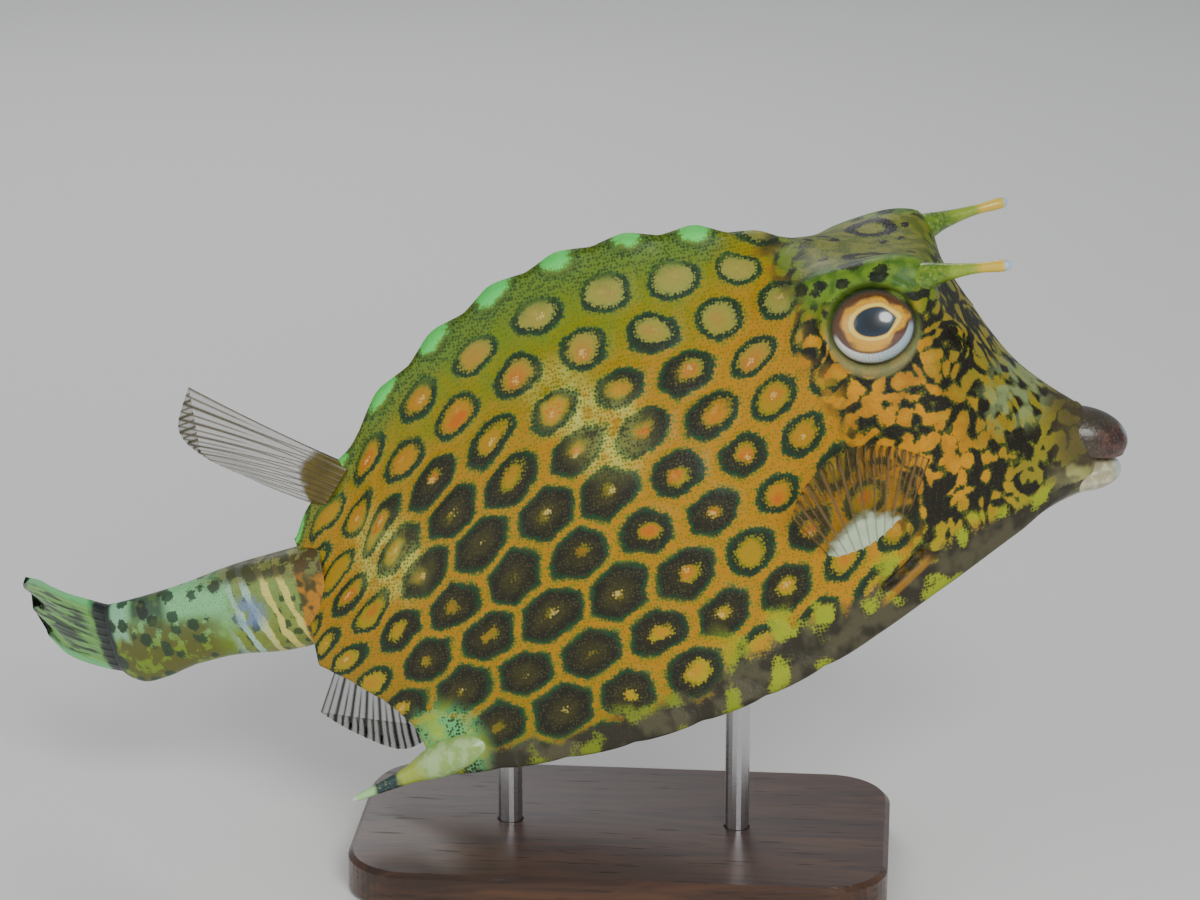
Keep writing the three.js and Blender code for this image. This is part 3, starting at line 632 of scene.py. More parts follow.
def plateColours(recipe, place, parts):
    # Six-sided cells, each with a dark ring round an orange heart, in a network of ochre. Towards the belly
    # the rings close up until the cell is all dark, and every border is stippled.
    band, noise, layers = recipe.band, recipe.noise, recipe.layers
    x, _, z = parts
    column, row = recipe.uv("plates")
    wobble = recipe.parts(recipe.noiseColour(place, 11.0))
    column = column + (wobble[0] - 0.5) * 0.3
    row = row + (wobble[1] - 0.5) * 0.36
    evenU, evenV = column.fract() - 0.5, (row / 2 + 0.5).fract() * 2 - 1
    oddU, oddV = (column + 0.5).fract() - 0.5, (row / 2).fract() * 2 - 1
    odd = span(evenU, evenV, rowWeight).over(span(oddU, oddV, rowWeight))
    u = evenU + (oddU - evenU) * odd
    v = evenV + (oddV - evenV) * odd
    cellId = recipe.joined((column - u) * 2, row - v)
    dice = recipe.add("ShaderNodeTexWhiteNoise", {"noise_dimensions": "2D"}, {"Vector": cellId}, "Color")
    luck = recipe.parts(dice)

    grain = recipe.grain(place)
    coarse = noise(place, 4.2)
    uneven = noise(place, 6.5, 1.0)
    hexagon = abs(u).larger(abs(u) * 0.5 + abs(v) * rowWeight)
    circle = span(u, v, rowWeight)

    gloom = band(z, 46.0, 16.0) * 0.4 + recipe.patches(parts, skin["darkPatches"]) + 0.04
    gloom = gloom - band(x, 82.0, 58.0) * 0.3 - band(x, 150.0, 176.0) * 0.12
    gloom = band(gloom + (luck[2] - 0.5) * 0.42, 0.0, 1.0)
    cell = skin["cell"]
    outer = gloom * cell["darkReach"] + cell["reach"] + (luck[0] - 0.5) * 0.03 + (coarse - 0.5) * 0.04
    inner = outer - cell["ring"] - gloom * cell["darkRing"] + (uneven - 0.5) * gloom * 0.3 - luck[1] * 0.03
    shape = hexagon * (gloom * 0.5 + 0.3) + circle * (0.7 - gloom * 0.5)

    stipple = (grain - 0.5) * 0.075
    inCell = band(shape + stipple - outer, 0.02, -0.02)
    deep = band(shape + stipple * 1.3 - outer + gloom * 0.02, -0.018, -0.07)
    inHeart = band(circle + stipple - inner, 0.025, -0.03) * inCell
    fromDot = span(u + (luck[1] - 0.5) * 0.12, v + (luck[0] - 0.6) * 0.16, rowWeight) + stipple
    dot = band(fromDot, 0.075, 0.03) * band(luck[2], 0.35, 0.5)
    blush = band(fromDot + (uneven - 0.5) * 0.2, 0.19, 0.07) * band(luck[1], 0.2, 0.45)

    web = layers(
        "web", (band(z + (uneven - 0.5) * 24 - (x - 100) * 0.25, 24.0, 60.0), "webUpper"),
        (band(x, 150.0, 192.0) * 0.6, "webFront"), (band(z + x * 0.14, 4.0, -22.0) * 0.5, "webLower"),
        (band(grain, 0.5, 0.1) * 0.55, "webGrain"),
        (band(shape + stipple * 1.6 - outer, 0.055, 0.0) * 0.5, "webEdge"),
    )
    dark = layers(
        "ring", (band(grain, 0.5, 0.05) * 0.45, "ringGrain"),
        (gloom * band(circle, 0.34, 0.1) * 0.4, "ringMiddle"), (band(gloom, 0.5, 0.1) * 0.7, "ringGreen"),
    )
    heart = layers(
        "heart", (luck[0], "heartOlive"), (blush * 0.75, "blush"),
        (band(circle + stipple - inner, -0.085, -0.02) * 0.7, "heartEdge"),
        (band(z + x * 0.1, 52.0, 76.0) * 0.7, "heartUpper"), (band(z, 6.0, -18.0) * 0.5, "heartLower"),
        (band(gloom, 0.62, 0.85) * 0.8, "heartDark"), (dot * 0.7, "dot"),
    )
    marked = layers("fringe", (band(grain, 0.5, 0.1), "fringeGrain"), (deep, dark), (inHeart, heart))

    # Pale yellow-green patches with stippled edges, thinned over the cells: painted soft highlights
    paintedHighlight = recipe.patches(parts, skin["paintedHighlightPatches"]) * band(coarse + stipple * 2, 0.3, 0.66)
    paintedHighlight = paintedHighlight * (1 - inCell * 0.6) * band(grain, 0.05, 0.6)
    crest = band(abs(row) + (coarse - 0.5) * 0.6, 1.0, 0.5) * band(x, 172.0, 160.0)
    knob = crest * band(hexagon + stipple + abs(row) * 0.25, 0.3, 0.2)
    colour = layers(
        web, (inCell, marked), (paintedHighlight * 0.7, "paintedHighlight"),
        (crest * 0.75, layers("crest", (band(grain, 0.4, 0.7), "crestGrain"))),
        (knob, layers("knob", (luck[0], "knobYellow"))),
    )
    return colour, inCell, row, stipple, grain


def keelColours(recipe, place, parts, row, colour, stipple):
    # Grey-brown under the keel, with yellow-green patches along it, and a pale belly
    band, noise, layers = recipe.band, recipe.noise, recipe.layers
    x, girth = parts[0], abs(row)
    blotch = noise(place, 7.0)
    lime = band(noise(place, 8.0, 1.0) + stipple, 0.54, 0.64)
    under = layers(
        "keel", (band(blotch, 0.42, 0.58), "keelPale"), (lime * band(girth, 10.3, 9.9) * 0.8, "keelLime"),
        (band(girth, 10.4, 11.6), layers("belly", (band(blotch, 0.35, 0.65), "bellyPale"))),
    )
    ragged = (noise(place, 8.0) - 0.5) * 1.1 + stipple * 2
    edge = band(girth + ragged + band(x, 120.0, 170.0) * 0.55, 9.35, 9.65)
    ahead = band(girth + ragged, 8.3, 8.9) * band(girth, 10.2, 9.7) * band(x, 140.0, 158.0)
    root = recipe.spot(parts, *skin["spineRoot"]) * band(blotch + stipple * 2, 0.4, 0.47)
    rootColour = layers("root", (band(blotch + ragged * 0.1, 0.44, 0.6), "rootYellow"))
    return layers(colour, (edge, under), (ahead * lime * 0.85, "lime"), (root * 0.85, rootColour))


def headColours(recipe, place, parts, grain):
    # A maze of round orange blotches on dark brown, olive towards the brow and the snout
    band, noise, layers = recipe.band, recipe.noise, recipe.layers
    x, y, z = parts
    stipple = (grain - 0.5) * 0.08
    blobs = recipe.add("ShaderNodeTexVoronoi", {"feature": "SMOOTH_F1"}, {
        "Vector": recipe.pushed(place, 5.0, 4.6), "Scale": 1 / 4.2, "Randomness": 0.85, "Smoothness": 0.12,
    })
    joined = noise(place, 3.9, 1.0)
    drift = joined - 0.5
    reach = noise(place, 15.0) * 0.16 + 0.4
    winding = (noise(place, 10.0, 0.0) * 32).sine()
    maze = (blobs - reach) * 0.72 - winding * 0.12 + stipple - drift * 0.25
    orange = layers(
        "orange", (band(noise(place, 9.0), 0.35, 0.65), "orangeDeep"),
        (band(maze, -0.12, -0.3) * 0.35, "orangeCore"),
        (band(z + drift * 12, 10.0, -10.0) * 0.85, "orangeCheek"),
        (band(x + z * 0.25 + drift * 14, 212.0, 230.0) * 0.85, "orangeSnout"),
        (band(z + drift * 16, 44.0, 56.0), "orangeBrow"), (band(grain, 0.5, 0.1) * 0.3, "orangeGrain"),
    )

    # Between the brows the top of the head is olive, with dark rings and blots
    eye, circle = skin["eye"], skin["crownRing"]
    onCrown = band(z + drift * 3 - abs(y) * 0.05, 54.5, 57.0) * band(abs(y), 21.0, 19.0)
    onCrown = onCrown * band(x + drift * 10, 178.0, 188.0)
    fromRing = span(abs(y) - circle["y"], x - circle["x"], 0.7) + stipple * 8
    ring = band(fromRing + drift * 1.6, *circle["inner"]) * band(fromRing + drift * 1.6, *circle["outer"])
    blots = band(recipe.cells(recipe.pushed(place, 5.0, 5.0), 6.2) + stipple, 0.3, 0.22)
    blots = blots * band(fromRing, 5.6, 7.0)
    crown = layers("crown", (band(joined, 0.4, 0.62), "crownPale"), (ring.larger(blots), "crownDark"))

    onBrow = recipe.spot(parts, eye["x"], eye["z"] + 12, 16, 0.25)
    onBrow = onBrow * band(z, 53.0, 56.0) * band(abs(y), 17.5, 19.5)
    browSpots = band(recipe.cells(recipe.joined(x * 0.7, y * 0.6, z * 1.1), 4.4) + stipple, 0.42, 0.34)
    brow = layers("brow", (band(joined, 0.4, 0.6), "browPale"), (browSpots, "browDark"))
    onLid = recipe.spot(parts, eye["x"], eye["z"] - 0.6, 10.9, 0.06)
    onChin = band(z + x * 0.5 + drift * 6, 118.5, 114.5) * band(x, 227.0, 233.0)
    return layers(
        "brown", (band(grain, 0.4, 0.05) * 0.3, "brownGrain"), (band(z, 46.0, 58.0) * 0.6, "brownBrow"),
        (band(maze, 0.13, 0.04) * 0.75, "mazeLime"), (band(maze, 0.03, -0.03), orange),
        (onCrown, crown), (onBrow * 0.85, brow),
        (band(x + drift * 5, 228.0, 236.0) * 0.8, layers("snout", (joined, "snoutPale"))),
        (recipe.spot(parts, *skin["snoutPatch"]) * band(joined, 0.4, 0.56) * 0.8, "snoutPatch"),
        (onChin * 0.8, layers("chin", (band(joined, 0.4, 0.6), "chinDark"))),
        (onLid * 0.85, layers("lid", (band(z, 38.0, 52.0), "lidUpper"))),
    )


def skinFinish():
    recipe = Recipe(
        "skinFinish", skin["tones"], Specular_IOR_Level=0.34, Coat_Weight=0.1, Coat_Roughness=0.3,
        **fleshy(0.04, (0.003, 0.002, 0.001)),
    )
    band, noise, layers = recipe.band, recipe.noise, recipe.layers
    place = recipe.fishPlace()
    parts = recipe.parts(place)
    x, _, z = parts
    colour, inCell, row, stipple, grain = plateColours(recipe, place, parts)
    ahead = x + z * 0.3 + (noise(place, 10.0) - 0.5) * 16
    colour = layers(colour, (band(ahead, 190.0, 200.0), headColours(recipe, place, parts, grain)))
    colour = keelColours(recipe, place, parts, row, colour, stipple)

    inward, capped = recipe.uv("zones")
    gill = skin["gill"]
    fromSlit = z - gill["z"] - (x - gill["x"]) * math.tan(math.radians(gill["turn"]))
    near = band(abs(x - gill["x"]), 7.5, 4.5)
    colour = layers(
        colour, (band(inward, 0.02, 0.2), layers("slope", (noise(place, 5.0), "slopeDark"))),
        (band(capped, 0.1, 0.6), layers("mouth", (band(z, -2.5, 0.0), "mouthUpper"))),
        (band(abs(fromSlit + 2.6), 1.5, 0.6) * near * 0.6, "gillEdge"),
        # Dark brown along the slit itself: painted shade in the gill opening
        (band(abs(fromSlit), 1.5, 0.7) * near * 0.75, "gillSlitShade"),
    )

    pores = band(recipe.cells(place, 2.3), 0.2, 0.05)
    height = (1 - recipe.cells(place, 0.85)) * 0.6 + noise(place, 4.0, 3.0) * 0.5 - pores * 0.3
    rough = noise(place, 3.0) * 0.16 + 0.42 + inCell * 0.04
    return recipe.finish(Base_Color=colour, Roughness=rough, Normal=recipe.bump(height, 0.0003, 0.6))


def makeSkin():
    maps = {"plates": skinColumns, "zones": lambda u, v: np.stack(skinEnds(u), 1)}
    piece = wrapGrid("skin", skin["stations"], skin["girth"], skinPlace, maps, closeEnds=False)
    dress(piece, skinFinish(), ["carapace", "head"])


makeSkin()
print("skin made")


# Tail stalk and the bend of the tail

stalk = {
    "length": 55.0,
    "top": profile([(-8, 14.5), (0, 13.6), (8, 13), (17, 12.2), (33, 9.2), (44, 7.4), (55, 5.6)]),
    "bottom": profile([
        (-8, -10), (0, -11.2), (8, -11.6), (22, -10.4), (32, -11.4), (42, -14.1), (48, -15.1), (53, -13.8),
        (55, -12.4),
    ]),
    "halfWidth": profile([(-8, 8.6), (10, 7.4), (24, 5.8), (40, 4), (53, 2.6), (55, 2.3)]),
    "heading": profile([(0, 0), (12, 0), (30, 8), (46, 20), (54, 30), (70, 46), (88, 57), (110, 64)]),
    "boxiness": 2.4,
    "bluePatch": (31.5, 1.5, 3.6, 0.7),
    "tones": {
        "mint": (136, 208, 140), "lower": (124, 152, 26), "brown": (92, 86, 26), "spots": (24, 58, 36),
        "front": (112, 122, 30), "frontPale": (150, 164, 74), "flecks": (34, 64, 34),
        "stripes": (226, 214, 110), "stripesMint": (176, 216, 190), "blue": (112, 138, 190),
        "rim": (190, 128, 22), "rimDark": (78, 70, 24), "saddle": (58, 54, 26),
        "saddlePale": (120, 124, 60),
        "second": (28, 34, 28), "secondPale": (74, 84, 30), "last": (150, 216, 170), "end": (20, 34, 30),
        "grain": (70, 90, 40),
    },
}

bendStep = 0.25
bendHeadings = np.radians(stalk["heading"](np.arange(0, 120, bendStep) + bendStep / 2))
bendX = np.concatenate([[0], np.cumsum(-bendStep * np.cos(bendHeadings))])
bendY = np.concatenate([[0], np.cumsum(bendStep * np.sin(bendHeadings))])
bendAlong = np.arange(len(bendX)) * bendStep


def bentTail(distance, y, z):
    heading = np.radians(stalk["heading"](distance))
    x = fish["rump"] + np.interp(distance, bendAlong, bendX) - np.minimum(distance, 0)
    side = np.interp(distance, bendAlong, bendY)
    return np.stack([x + y * np.sin(heading), side + y * np.cos(heading), z + 0 * x], 1)


def stalkPlace(u, v):
    # It starts 6 mm inside the carapace and ends just inside the fin
    distance = -6 + (stalk["length"] + 5.8) * u
    turn, power = 2 * np.pi * v, stalk["boxiness"]
    across, up = np.cos(turn), np.sin(turn)
    reach = (np.abs(across) ** power + np.abs(up) ** power) ** (-1 / power)
    top, bottom = stalk["top"](distance), stalk["bottom"](distance)
    swell = 1 + 0.02 * np.sin(distance * 0.55) * bell(distance, 22, 14)
    return bentTail(
        distance, stalk["halfWidth"](distance) * across * reach * swell,
        (top + bottom) / 2 + (top - bottom) / 2 * up * reach,
    )


def stalkFinish():
    recipe = Recipe(
        "tailFinish", stalk["tones"], Roughness=0.45, Coat_Weight=0.15, Coat_Roughness=0.3,
        **fleshy(0.08, (0.003, 0.002, 0.001)),
    )
    band, noise, layers = recipe.band, recipe.noise, recipe.layers
    place = recipe.fishPlace()
    parts = recipe.parts(place)
    x, _, z = parts
    along = recipe.uv()[0]
    grain = recipe.grain(place)
    stipple = (grain - 0.5) * 0.1
    soft = noise(place, 5.0)
    drift = soft - 0.5
    blotch = noise(place, 3.2, 1.0)

    brown = band(z, 4.0, 0.0) * band(along, 0.4, 0.55) * band(blotch + stipple, 0.42, 0.5)
    spotted = band(recipe.cells(recipe.pushed(place, 5.0, 1.5), 5.0) + stipple, 0.4, 0.32)
    spotted = spotted * band(along, 0.36, 0.42)
    flecks = band(recipe.cells(recipe.pushed(place, 4.0, 1.5), 3.4) + stipple, 0.4, 0.3)
    slanted = (x * 1.35 + z * 0.35 + drift * 4.0).sine()
    stripes = band(slanted + stipple + (blotch - 0.5) * 1.2, 0.1, 0.6) * band(along, 0.46, 0.36)
    front = band(along, 0.44, 0.36) * 0.85
    blue = recipe.spot(parts, *stalk["bluePatch"]) * band(soft + (blotch - 0.5) * 0.4, 0.4, 0.52)
    saddle = band(z + drift * 6, 7.0, 10.0) * band(along, 0.6, 0.4)
    second = band(z + drift * 9, 0.0, 4.0) * band(along, 0.66, 0.72) * band(along, 0.88, 0.84)
    last = band(z + drift * 6, -4.0, -1.0) * band(along, 0.87, 0.9) * (1 - spotted)
    colour = layers(
        "mint", (band(z + drift * 6, 5.0, -6.0), "lower"), (brown * 0.85, "brown"), (spotted * 0.9, "spots"),
        (front, layers("front", (blotch, "frontPale"))), (front * flecks, "flecks"),
        (stripes, layers("stripes", (band(along, 0.24, 0.34), "stripesMint"))), (blue * 0.8, "blue"),
        (band(along + drift * 0.03, 0.128, 0.108), layers("rim", (band(blotch, 0.42, 0.56), "rimDark"))),
        (saddle * 0.9, layers("saddle", (band(blotch + stipple, 0.5, 0.56), "saddlePale"))),
        (second * 0.85, layers("second", (band(blotch, 0.45, 0.55), "secondPale"))), (last * 0.8, "last"),
        (band(along, 0.955, 0.985), "end"), (band(grain, 0.5, 0.1) * 0.25, "grain"),
    )
    height = (1 - recipe.cells(place, 0.9)) * 0.4 + soft * 0.6
    rough = soft * 0.16 + 0.36
    return recipe.finish(Base_Color=colour, Roughness=rough, Normal=recipe.bump(height, 0.0003, 0.5))


dress(wrapGrid("tailStalk", 130, 64, stalkPlace), stalkFinish(), ["tail_stalk"])
print("tail stalk made")


# Fins: one closed sheet each, with its rays raised on both faces

# "ray", "membrane", "edge" and "flesh" are half thicknesses in millimetres. "clear" is how much of the bare
# membrane shows, and the larger "thin" is, the thinner are the rays' lines.
dorsalFin = {
    "front": (64.0, 31.5), "rear": (55.0, 22.5), "angles": (144, 151), "arch": 9, "sway": 5.0,
    "lengths": profile([(0, 44), (0.25, 43), (0.6, 34), (1, 21)]),
    "rays": 10, "steps": 44, "ray": 0.42, "membrane": 0.2, "edge": 0.13, "flesh": 2.3, "fleshReach": 0.34,
    "clear": 0.16, "fleshEnd": 0.27, "thin": 22.0,
    "tones": {
        "membrane": (104, 98, 74), "membranePale": (134, 124, 92), "ray": (78, 68, 48),
        "flesh": (120, 100, 20), "fleshOther": (62, 60, 22),
    },
}
analFin = {
    "front": (65.0, -17.0), "rear": (54.0, -8.0), "angles": (-84, -122), "arch": 0, "sway": 4.0,
    "lengths": profile([(0, 25), (0.4, 31), (1, 27)]),
    "rays": 9, "steps": 36, "ray": 0.42, "membrane": 0.2, "edge": 0.13, "flesh": 1.9, "fleshReach": 0.36,
    "clear": 0.12, "fleshEnd": 0.26, "thin": 20.0,
    "tones": {
        "membrane": (60, 58, 48), "membranePale": (84, 80, 64), "ray": (40, 36, 28),
        "flesh": (96, 90, 40), "fleshOther": (56, 52, 30),
    },
}
pectoralFin = {
    "front": (193.2, -4.6), "rear": (178.8, -7.3), "sunk": 4.0,
    "angles": profile([(0, 60), (0.5, 84), (1, 115)]),
    "lengths": profile([(0, 22), (0.3, 29), (0.55, 32), (0.8, 27), (1, 20)]),
    "outward": profile([(0, 22), (0.5, 28), (1, 34)]),
    "rays": 11, "steps": 40, "ray": 0.36, "membrane": 0.16, "edge": 0.1, "flesh": 2.1, "fleshReach": 0.26,
    "clear": 0.08, "fleshEnd": 0.41, "thin": 26.0,
    "tones": {
        "membrane": (150, 122, 50), "membranePale": (116, 92, 40), "ray": (116, 84, 42),
        "flesh": (216, 232, 200), "fleshOther": (176, 204, 160),
    },
}
tailFin = {
    "top": profile([(0, 5.6), (0.2, 7), (0.6, 7.7), (1, 4.6)]),
    "bottom": profile([(0, -12.4), (0.3, -11.8), (0.7, -10.9), (1, -8.4)]),
    "reach": profile([(0, 52), (0.3, 50), (0.7, 43), (1, 36)]),
    "rays": 10, "steps": 60, "ray": 0.5, "membrane": 0.24, "edge": 0.13, "flesh": 1.6, "fleshReach": 0.2,
    "clear": 0.88, "fleshEnd": 0.05, "thin": 14.0, "barEnd": 0.15,
    "tones": {
        "membrane": (92, 176, 76), "membranePale": (138, 206, 84), "ray": (160, 226, 110),
        "flesh": (34, 44, 36), "fleshOther": (18, 24, 26), "bars": (16, 28, 26), "border": (110, 222, 130),
        "tip": (18, 66, 66),
    },
}


def finSheet(name, fin, place):
    # u runs out along the rays, and v round the sheet: out on one face and back on the other
    gaps, perGap = fin["rays"] - 1, 8

    def acrossAlong(u, v):
        return np.stack([np.where(v < 0.5, 2 * v, 2 - 2 * v), u], 1)

    def surface(u, v):
        facing = np.where(v < 0.5, 1.0, -1.0)
        across = np.clip(acrossAlong(u, v)[:, 0], 0, 1)
        spread = place(np.minimum(across + 0.004, 1), u) - place(np.maximum(across - 0.004, 0), u)
        reach = place(across, np.minimum(u + 0.01, 1)) - place(across, np.maximum(u - 0.01, 0))
        normal = np.cross(spread, reach)
        normal /= np.linalg.norm(normal, axis=1, keepdims=True) + 1e-9
        ridge = np.abs(np.cos(np.pi * across * gaps)) ** 16
        branch = np.abs(np.cos(np.pi * across * gaps * 2)) ** 16 * eased(u, 0.45, 0.75)
        raised = np.maximum(ridge * (1 - 0.45 * u), 0.55 * branch)
        rib = fin["membrane"] + (fin["ray"] - fin["membrane"]) * raised
        outer = eased(u, 0.55, 1.0)
        meat = np.sin(np.pi * (0.12 + 0.76 * across)) ** 0.8 * np.exp(-((u / fin["fleshReach"]) ** 2))
        half = rib * (1 - outer) + fin["edge"] * outer + fin["flesh"] * meat
        half = half * np.minimum(1, 0.25 + 12 * np.minimum(across, 1 - across))
        return place(across, u) + normal * (half * facing)[:, None]

    return wrapGrid(name, fin["steps"], 2 * perGap * gaps, surface, {"UVMap": acrossAlong})


def ruffle(across, along, waves, depth):
    return depth * along**1.5 * np.sin(waves * np.pi * across + 2.2 * along)


def rootLine(fin, across):
    return [front + (rear - front) * across for front, rear in zip(fin["front"], fin["rear"])]


def medianPlaceOn(fin):
    def place(across, along):
        x, z = rootLine(fin, across)
        turn = fin["angles"][0] + (fin["angles"][1] - fin["angles"][0]) * across
        turn = np.radians(turn + fin["arch"] * np.sin(np.pi * across) * along)
        reach = fin["lengths"](across) * along
        y = fin["sway"] * along**2 + ruffle(across, along, 3, 0.5)
        return np.stack([x + reach * np.cos(turn), y, z + reach * np.sin(turn)], 1)

    return place


def pectoralPlaceOn(side):
    fin = pectoralFin
    shares = np.arange(9) / 8
    rows = [rowAtHeight(*rootLine(fin, share)) for share in shares]

    def place(across, along):
        x = rootLine(fin, across)[0]
        row = np.interp(across, shares, rows)
        root = shellPoint(x, row) - fin["sunk"] * shellNormal(x, row)
        turn, out = np.radians(fin["angles"](across)), np.radians(fin["outward"](across))
        reach = (fin["lengths"](across) + fin["sunk"]) * along
        curl = 3 * along**2
        y = root[:, 1] - reach * np.sin(out) + curl + ruffle(across, along, 4, 0.6)
        x = root[:, 0] + reach * np.cos(turn) * np.cos(out)
        return np.stack([x, -side * y, root[:, 2] + reach * np.sin(turn) * np.cos(out)], 1)

    return place


def tailFinPlace(across, along):
    distance = stalk["length"] - 0.3 + (tailFin["reach"](across) + 0.4) * along
    top, bottom = tailFin["top"](along), tailFin["bottom"](along)
    return bentTail(distance, ruffle(across, along, 5, 0.7), top + (bottom - top) * across)


def finFinish(name, fin):
    recipe = Recipe(
        name, fin["tones"], Roughness=0.35, Coat_Weight=0.15, Coat_Roughness=0.25,
        **fleshy(0.15, (0.002, 0.002, 0.001)),
    )
    band, noise, layers = recipe.band, recipe.noise, recipe.layers
    place = recipe.fishPlace()
    across, along = recipe.uv()
    soft = noise(place, 3.0)
    turn, thin, clear, barred = math.pi * (fin["rays"] - 1), fin["thin"], fin["clear"], "bars" in fin["tones"]
    ridge = abs((across * turn).cosine()) ** thin
    branch = abs((across * (2 * turn)).cosine()) ** (thin * 0.7) * band(along, 0.45, 0.75)
    rib = ridge.larger(branch * 0.8)
    joints = band((along * 170).sine(), 0.5, 0.95) * rib * 0.4
    colour = layers("membrane", (soft, "membranePale"), (rib, "ray"), (joints, "membrane"))
    fromMiddle = abs(across - 0.5)
    if barred:
        bars = noise(recipe.joined(across * 16, along * 3.0), 1.0) + band(abs(across - 0.45), 0.5, 0.0) * 0.1
        colour = layers(
            colour, (band(bars, 0.53, 0.62) * band(along, 0.1, 0.25) * 0.9, "bars"),
            (band(fromMiddle, 0.38, 0.46), "border"),
            (band(along + (soft - 0.5) * 0.1, fin["barEnd"], fin["barEnd"] - 0.06), "bars"),
            (band(along, 0.88, 0.98) * 0.8, "tip"),
        )
    end = fin["fleshEnd"]
    meat = band(along + (soft - 0.5) * 0.16 + fromMiddle * 0.16, end + 0.06, end - 0.06)
    striped = band(ridge, 0.1, 0.6) * (0.05 if barred else 0.45)
    colour = layers(colour, (meat, layers("flesh", (soft, "fleshOther"), (striped, "ray"))))
    solid = (rib * (0.86 - clear) + clear).larger(meat).larger(band(fromMiddle, 0.47, 0.495) * 0.6)
    height = rib * 0.8 + noise(place, 0.9) * 0.3
    return recipe.finish(Base_Color=colour, Alpha=solid, Normal=recipe.bump(height, 0.0002, 0.5))


def makeFins():
    for look, fin, pieces in (
        ("dorsalFinish", dorsalFin, [("dorsalFin", "dorsal_fin", medianPlaceOn(dorsalFin))]),
        ("analFinish", analFin, [("analFin", "anal_fin", medianPlaceOn(analFin))]),
        ("pectoralFinish", pectoralFin, [
            ("pectoralFinRight", "pectoral_fin_right", pectoralPlaceOn(-1)),
            ("pectoralFinLeft", "pectoral_fin_left", pectoralPlaceOn(1)),
        ]),
        ("tailFinFinish", tailFin, [("tailFin", "tail_fin", tailFinPlace)]),
    ):
        material = finFinish(look, fin)
        for name, node, place in pieces:
            dress(finSheet(name, fin, place), material, [node])


makeFins()
print("fins made")


# Horns and rear spines

# The values of a band: its colour, from where to where along the spike it sets in, and how ragged it is
horn = {
    "path": [(201, -20.0, 52.5), (210, -22.4, 56), (219, -25.4, 56.8), (231, -29.5, 56.8)],
    "radius": profile([
        (0, 2.6), (0.16, 4.6), (0.3, 3.7), (0.5, 2.1), (0.78, 1.2), (0.92, 1.38), (0.97, 1.2), (0.99, 0.8),
        (1, 0.15),
    ]),
    "gloss": {"Roughness": 0.32, "Coat_Weight": 0.3, "Coat_Roughness": 0.15},
    "bands": [("middle", 0.5, 0.6, 0.2), ("outer", 0.72, 0.8, 0.1), ("tip", 0.945, 0.98, 0)],
    "flecked": 0.35,
    "tones": {
        "root": (108, 140, 24), "rootDark": (80, 116, 20), "middle": (146, 172, 48),
        "outer": (232, 196, 60),
        "tip": (176, 208, 232), "fleck": (206, 214, 120),
    },
}
spine = {
    "path": [(88, -31.5, -33), (75, -31.6, -35.6), (63, -31.6, -38.8), (50.5, -31.4, -42)],
    "radius": profile([
        (0, 2), (0.2, 4.2), (0.35, 4.2), (0.6, 2.1), (0.85, 1.1), (0.96, 0.75), (0.99, 0.4), (1, 0.1),
    ]),
    "gloss": {"Roughness": 0.35, "Coat_Weight": 0.25, "Coat_Roughness": 0.18},
    "bands": [
        ("middle", 0.42, 0.54, 0), ("dark", 0.62, 0.67, 0.06), ("outer", 0.8, 0.85, 0.06),
        ("tip", 0.94, 0.99, 0),
    ],
    "flecked": 0.3,
    "tones": {
        "root": (176, 206, 140), "rootDark": (150, 186, 96), "middle": (172, 188, 70), "dark": (34, 62, 62),
        "outer": (176, 226, 150), "tip": (226, 236, 222), "fleck": (214, 224, 150),
    },
}


def curveThrough(points, count):
    # A smooth path through a few places, evenly stepped along its length
    points = np.array(points, float)
    ends = np.vstack([2 * points[0] - points[1], points, 2 * points[-1] - points[-2]])
    path = []
    for i in range(len(points) - 1):
        p0, p1, p2, p3 = ends[i:i + 4]
        for t in np.linspace(0, 1, 24, endpoint=False):
            path.append(0.5 * (2 * p1 + (p2 - p0) * t + (2 * p0 - 5 * p1 + 4 * p2 - p3) * t**2
                               + (3 * p1 - p0 - 3 * p2 + p3) * t**3))
    path.append(points[-1])
    path = np.array(path)
    lengths = np.concatenate([[0], np.cumsum(np.linalg.norm(np.diff(path, axis=0), axis=1))])
    even = np.linspace(0, lengths[-1], count)
    return np.stack([np.interp(even, lengths, path[:, k]) for k in range(3)], 1)


def tube(name, points, radiusAt, around=28, along=70):
    path = curveThrough(points, along + 1)
    tangent = np.gradient(path, axis=0)
    tangent /= np.linalg.norm(tangent, axis=1, keepdims=True)
    side = np.cross(tangent, (0, 0, 1.0))
    side /= np.linalg.norm(side, axis=1, keepdims=True)
    up = np.cross(side, tangent)

    def place(u, v):
        i = np.clip(np.rint(u * along).astype(int), 0, along)
        radius, turn = radiusAt(u), 2 * np.pi * v
        out, rise = (radius * np.cos(turn))[:, None], (radius * np.sin(turn))[:, None]
        return path[i] + side[i] * out + up[i] * rise

    return wrapGrid(name, along, around, place)


def spikeFinish(name, spike):
    recipe = Recipe(name, spike["tones"], **spike["gloss"])
    band = recipe.band
    place = recipe.fishPlace()
    along = recipe.uv()[0]
    fine, soft = recipe.noise(place, 0.7, 1.0), recipe.noise(place, 2.4)
    bands = [
        (band(along + (soft - 0.5) * ragged, low, high), tone) for tone, low, high, ragged in spike["bands"]
    ]
    fleck = band(fine, 0.5, 0.8) * spike["flecked"]
    colour = recipe.layers("root", (band(soft, 0.4, 0.6), "rootDark"), *bands, (fleck, "fleck"))
    return recipe.finish(Base_Color=colour, Normal=recipe.bump(fine + soft, 0.0002, 0.5))


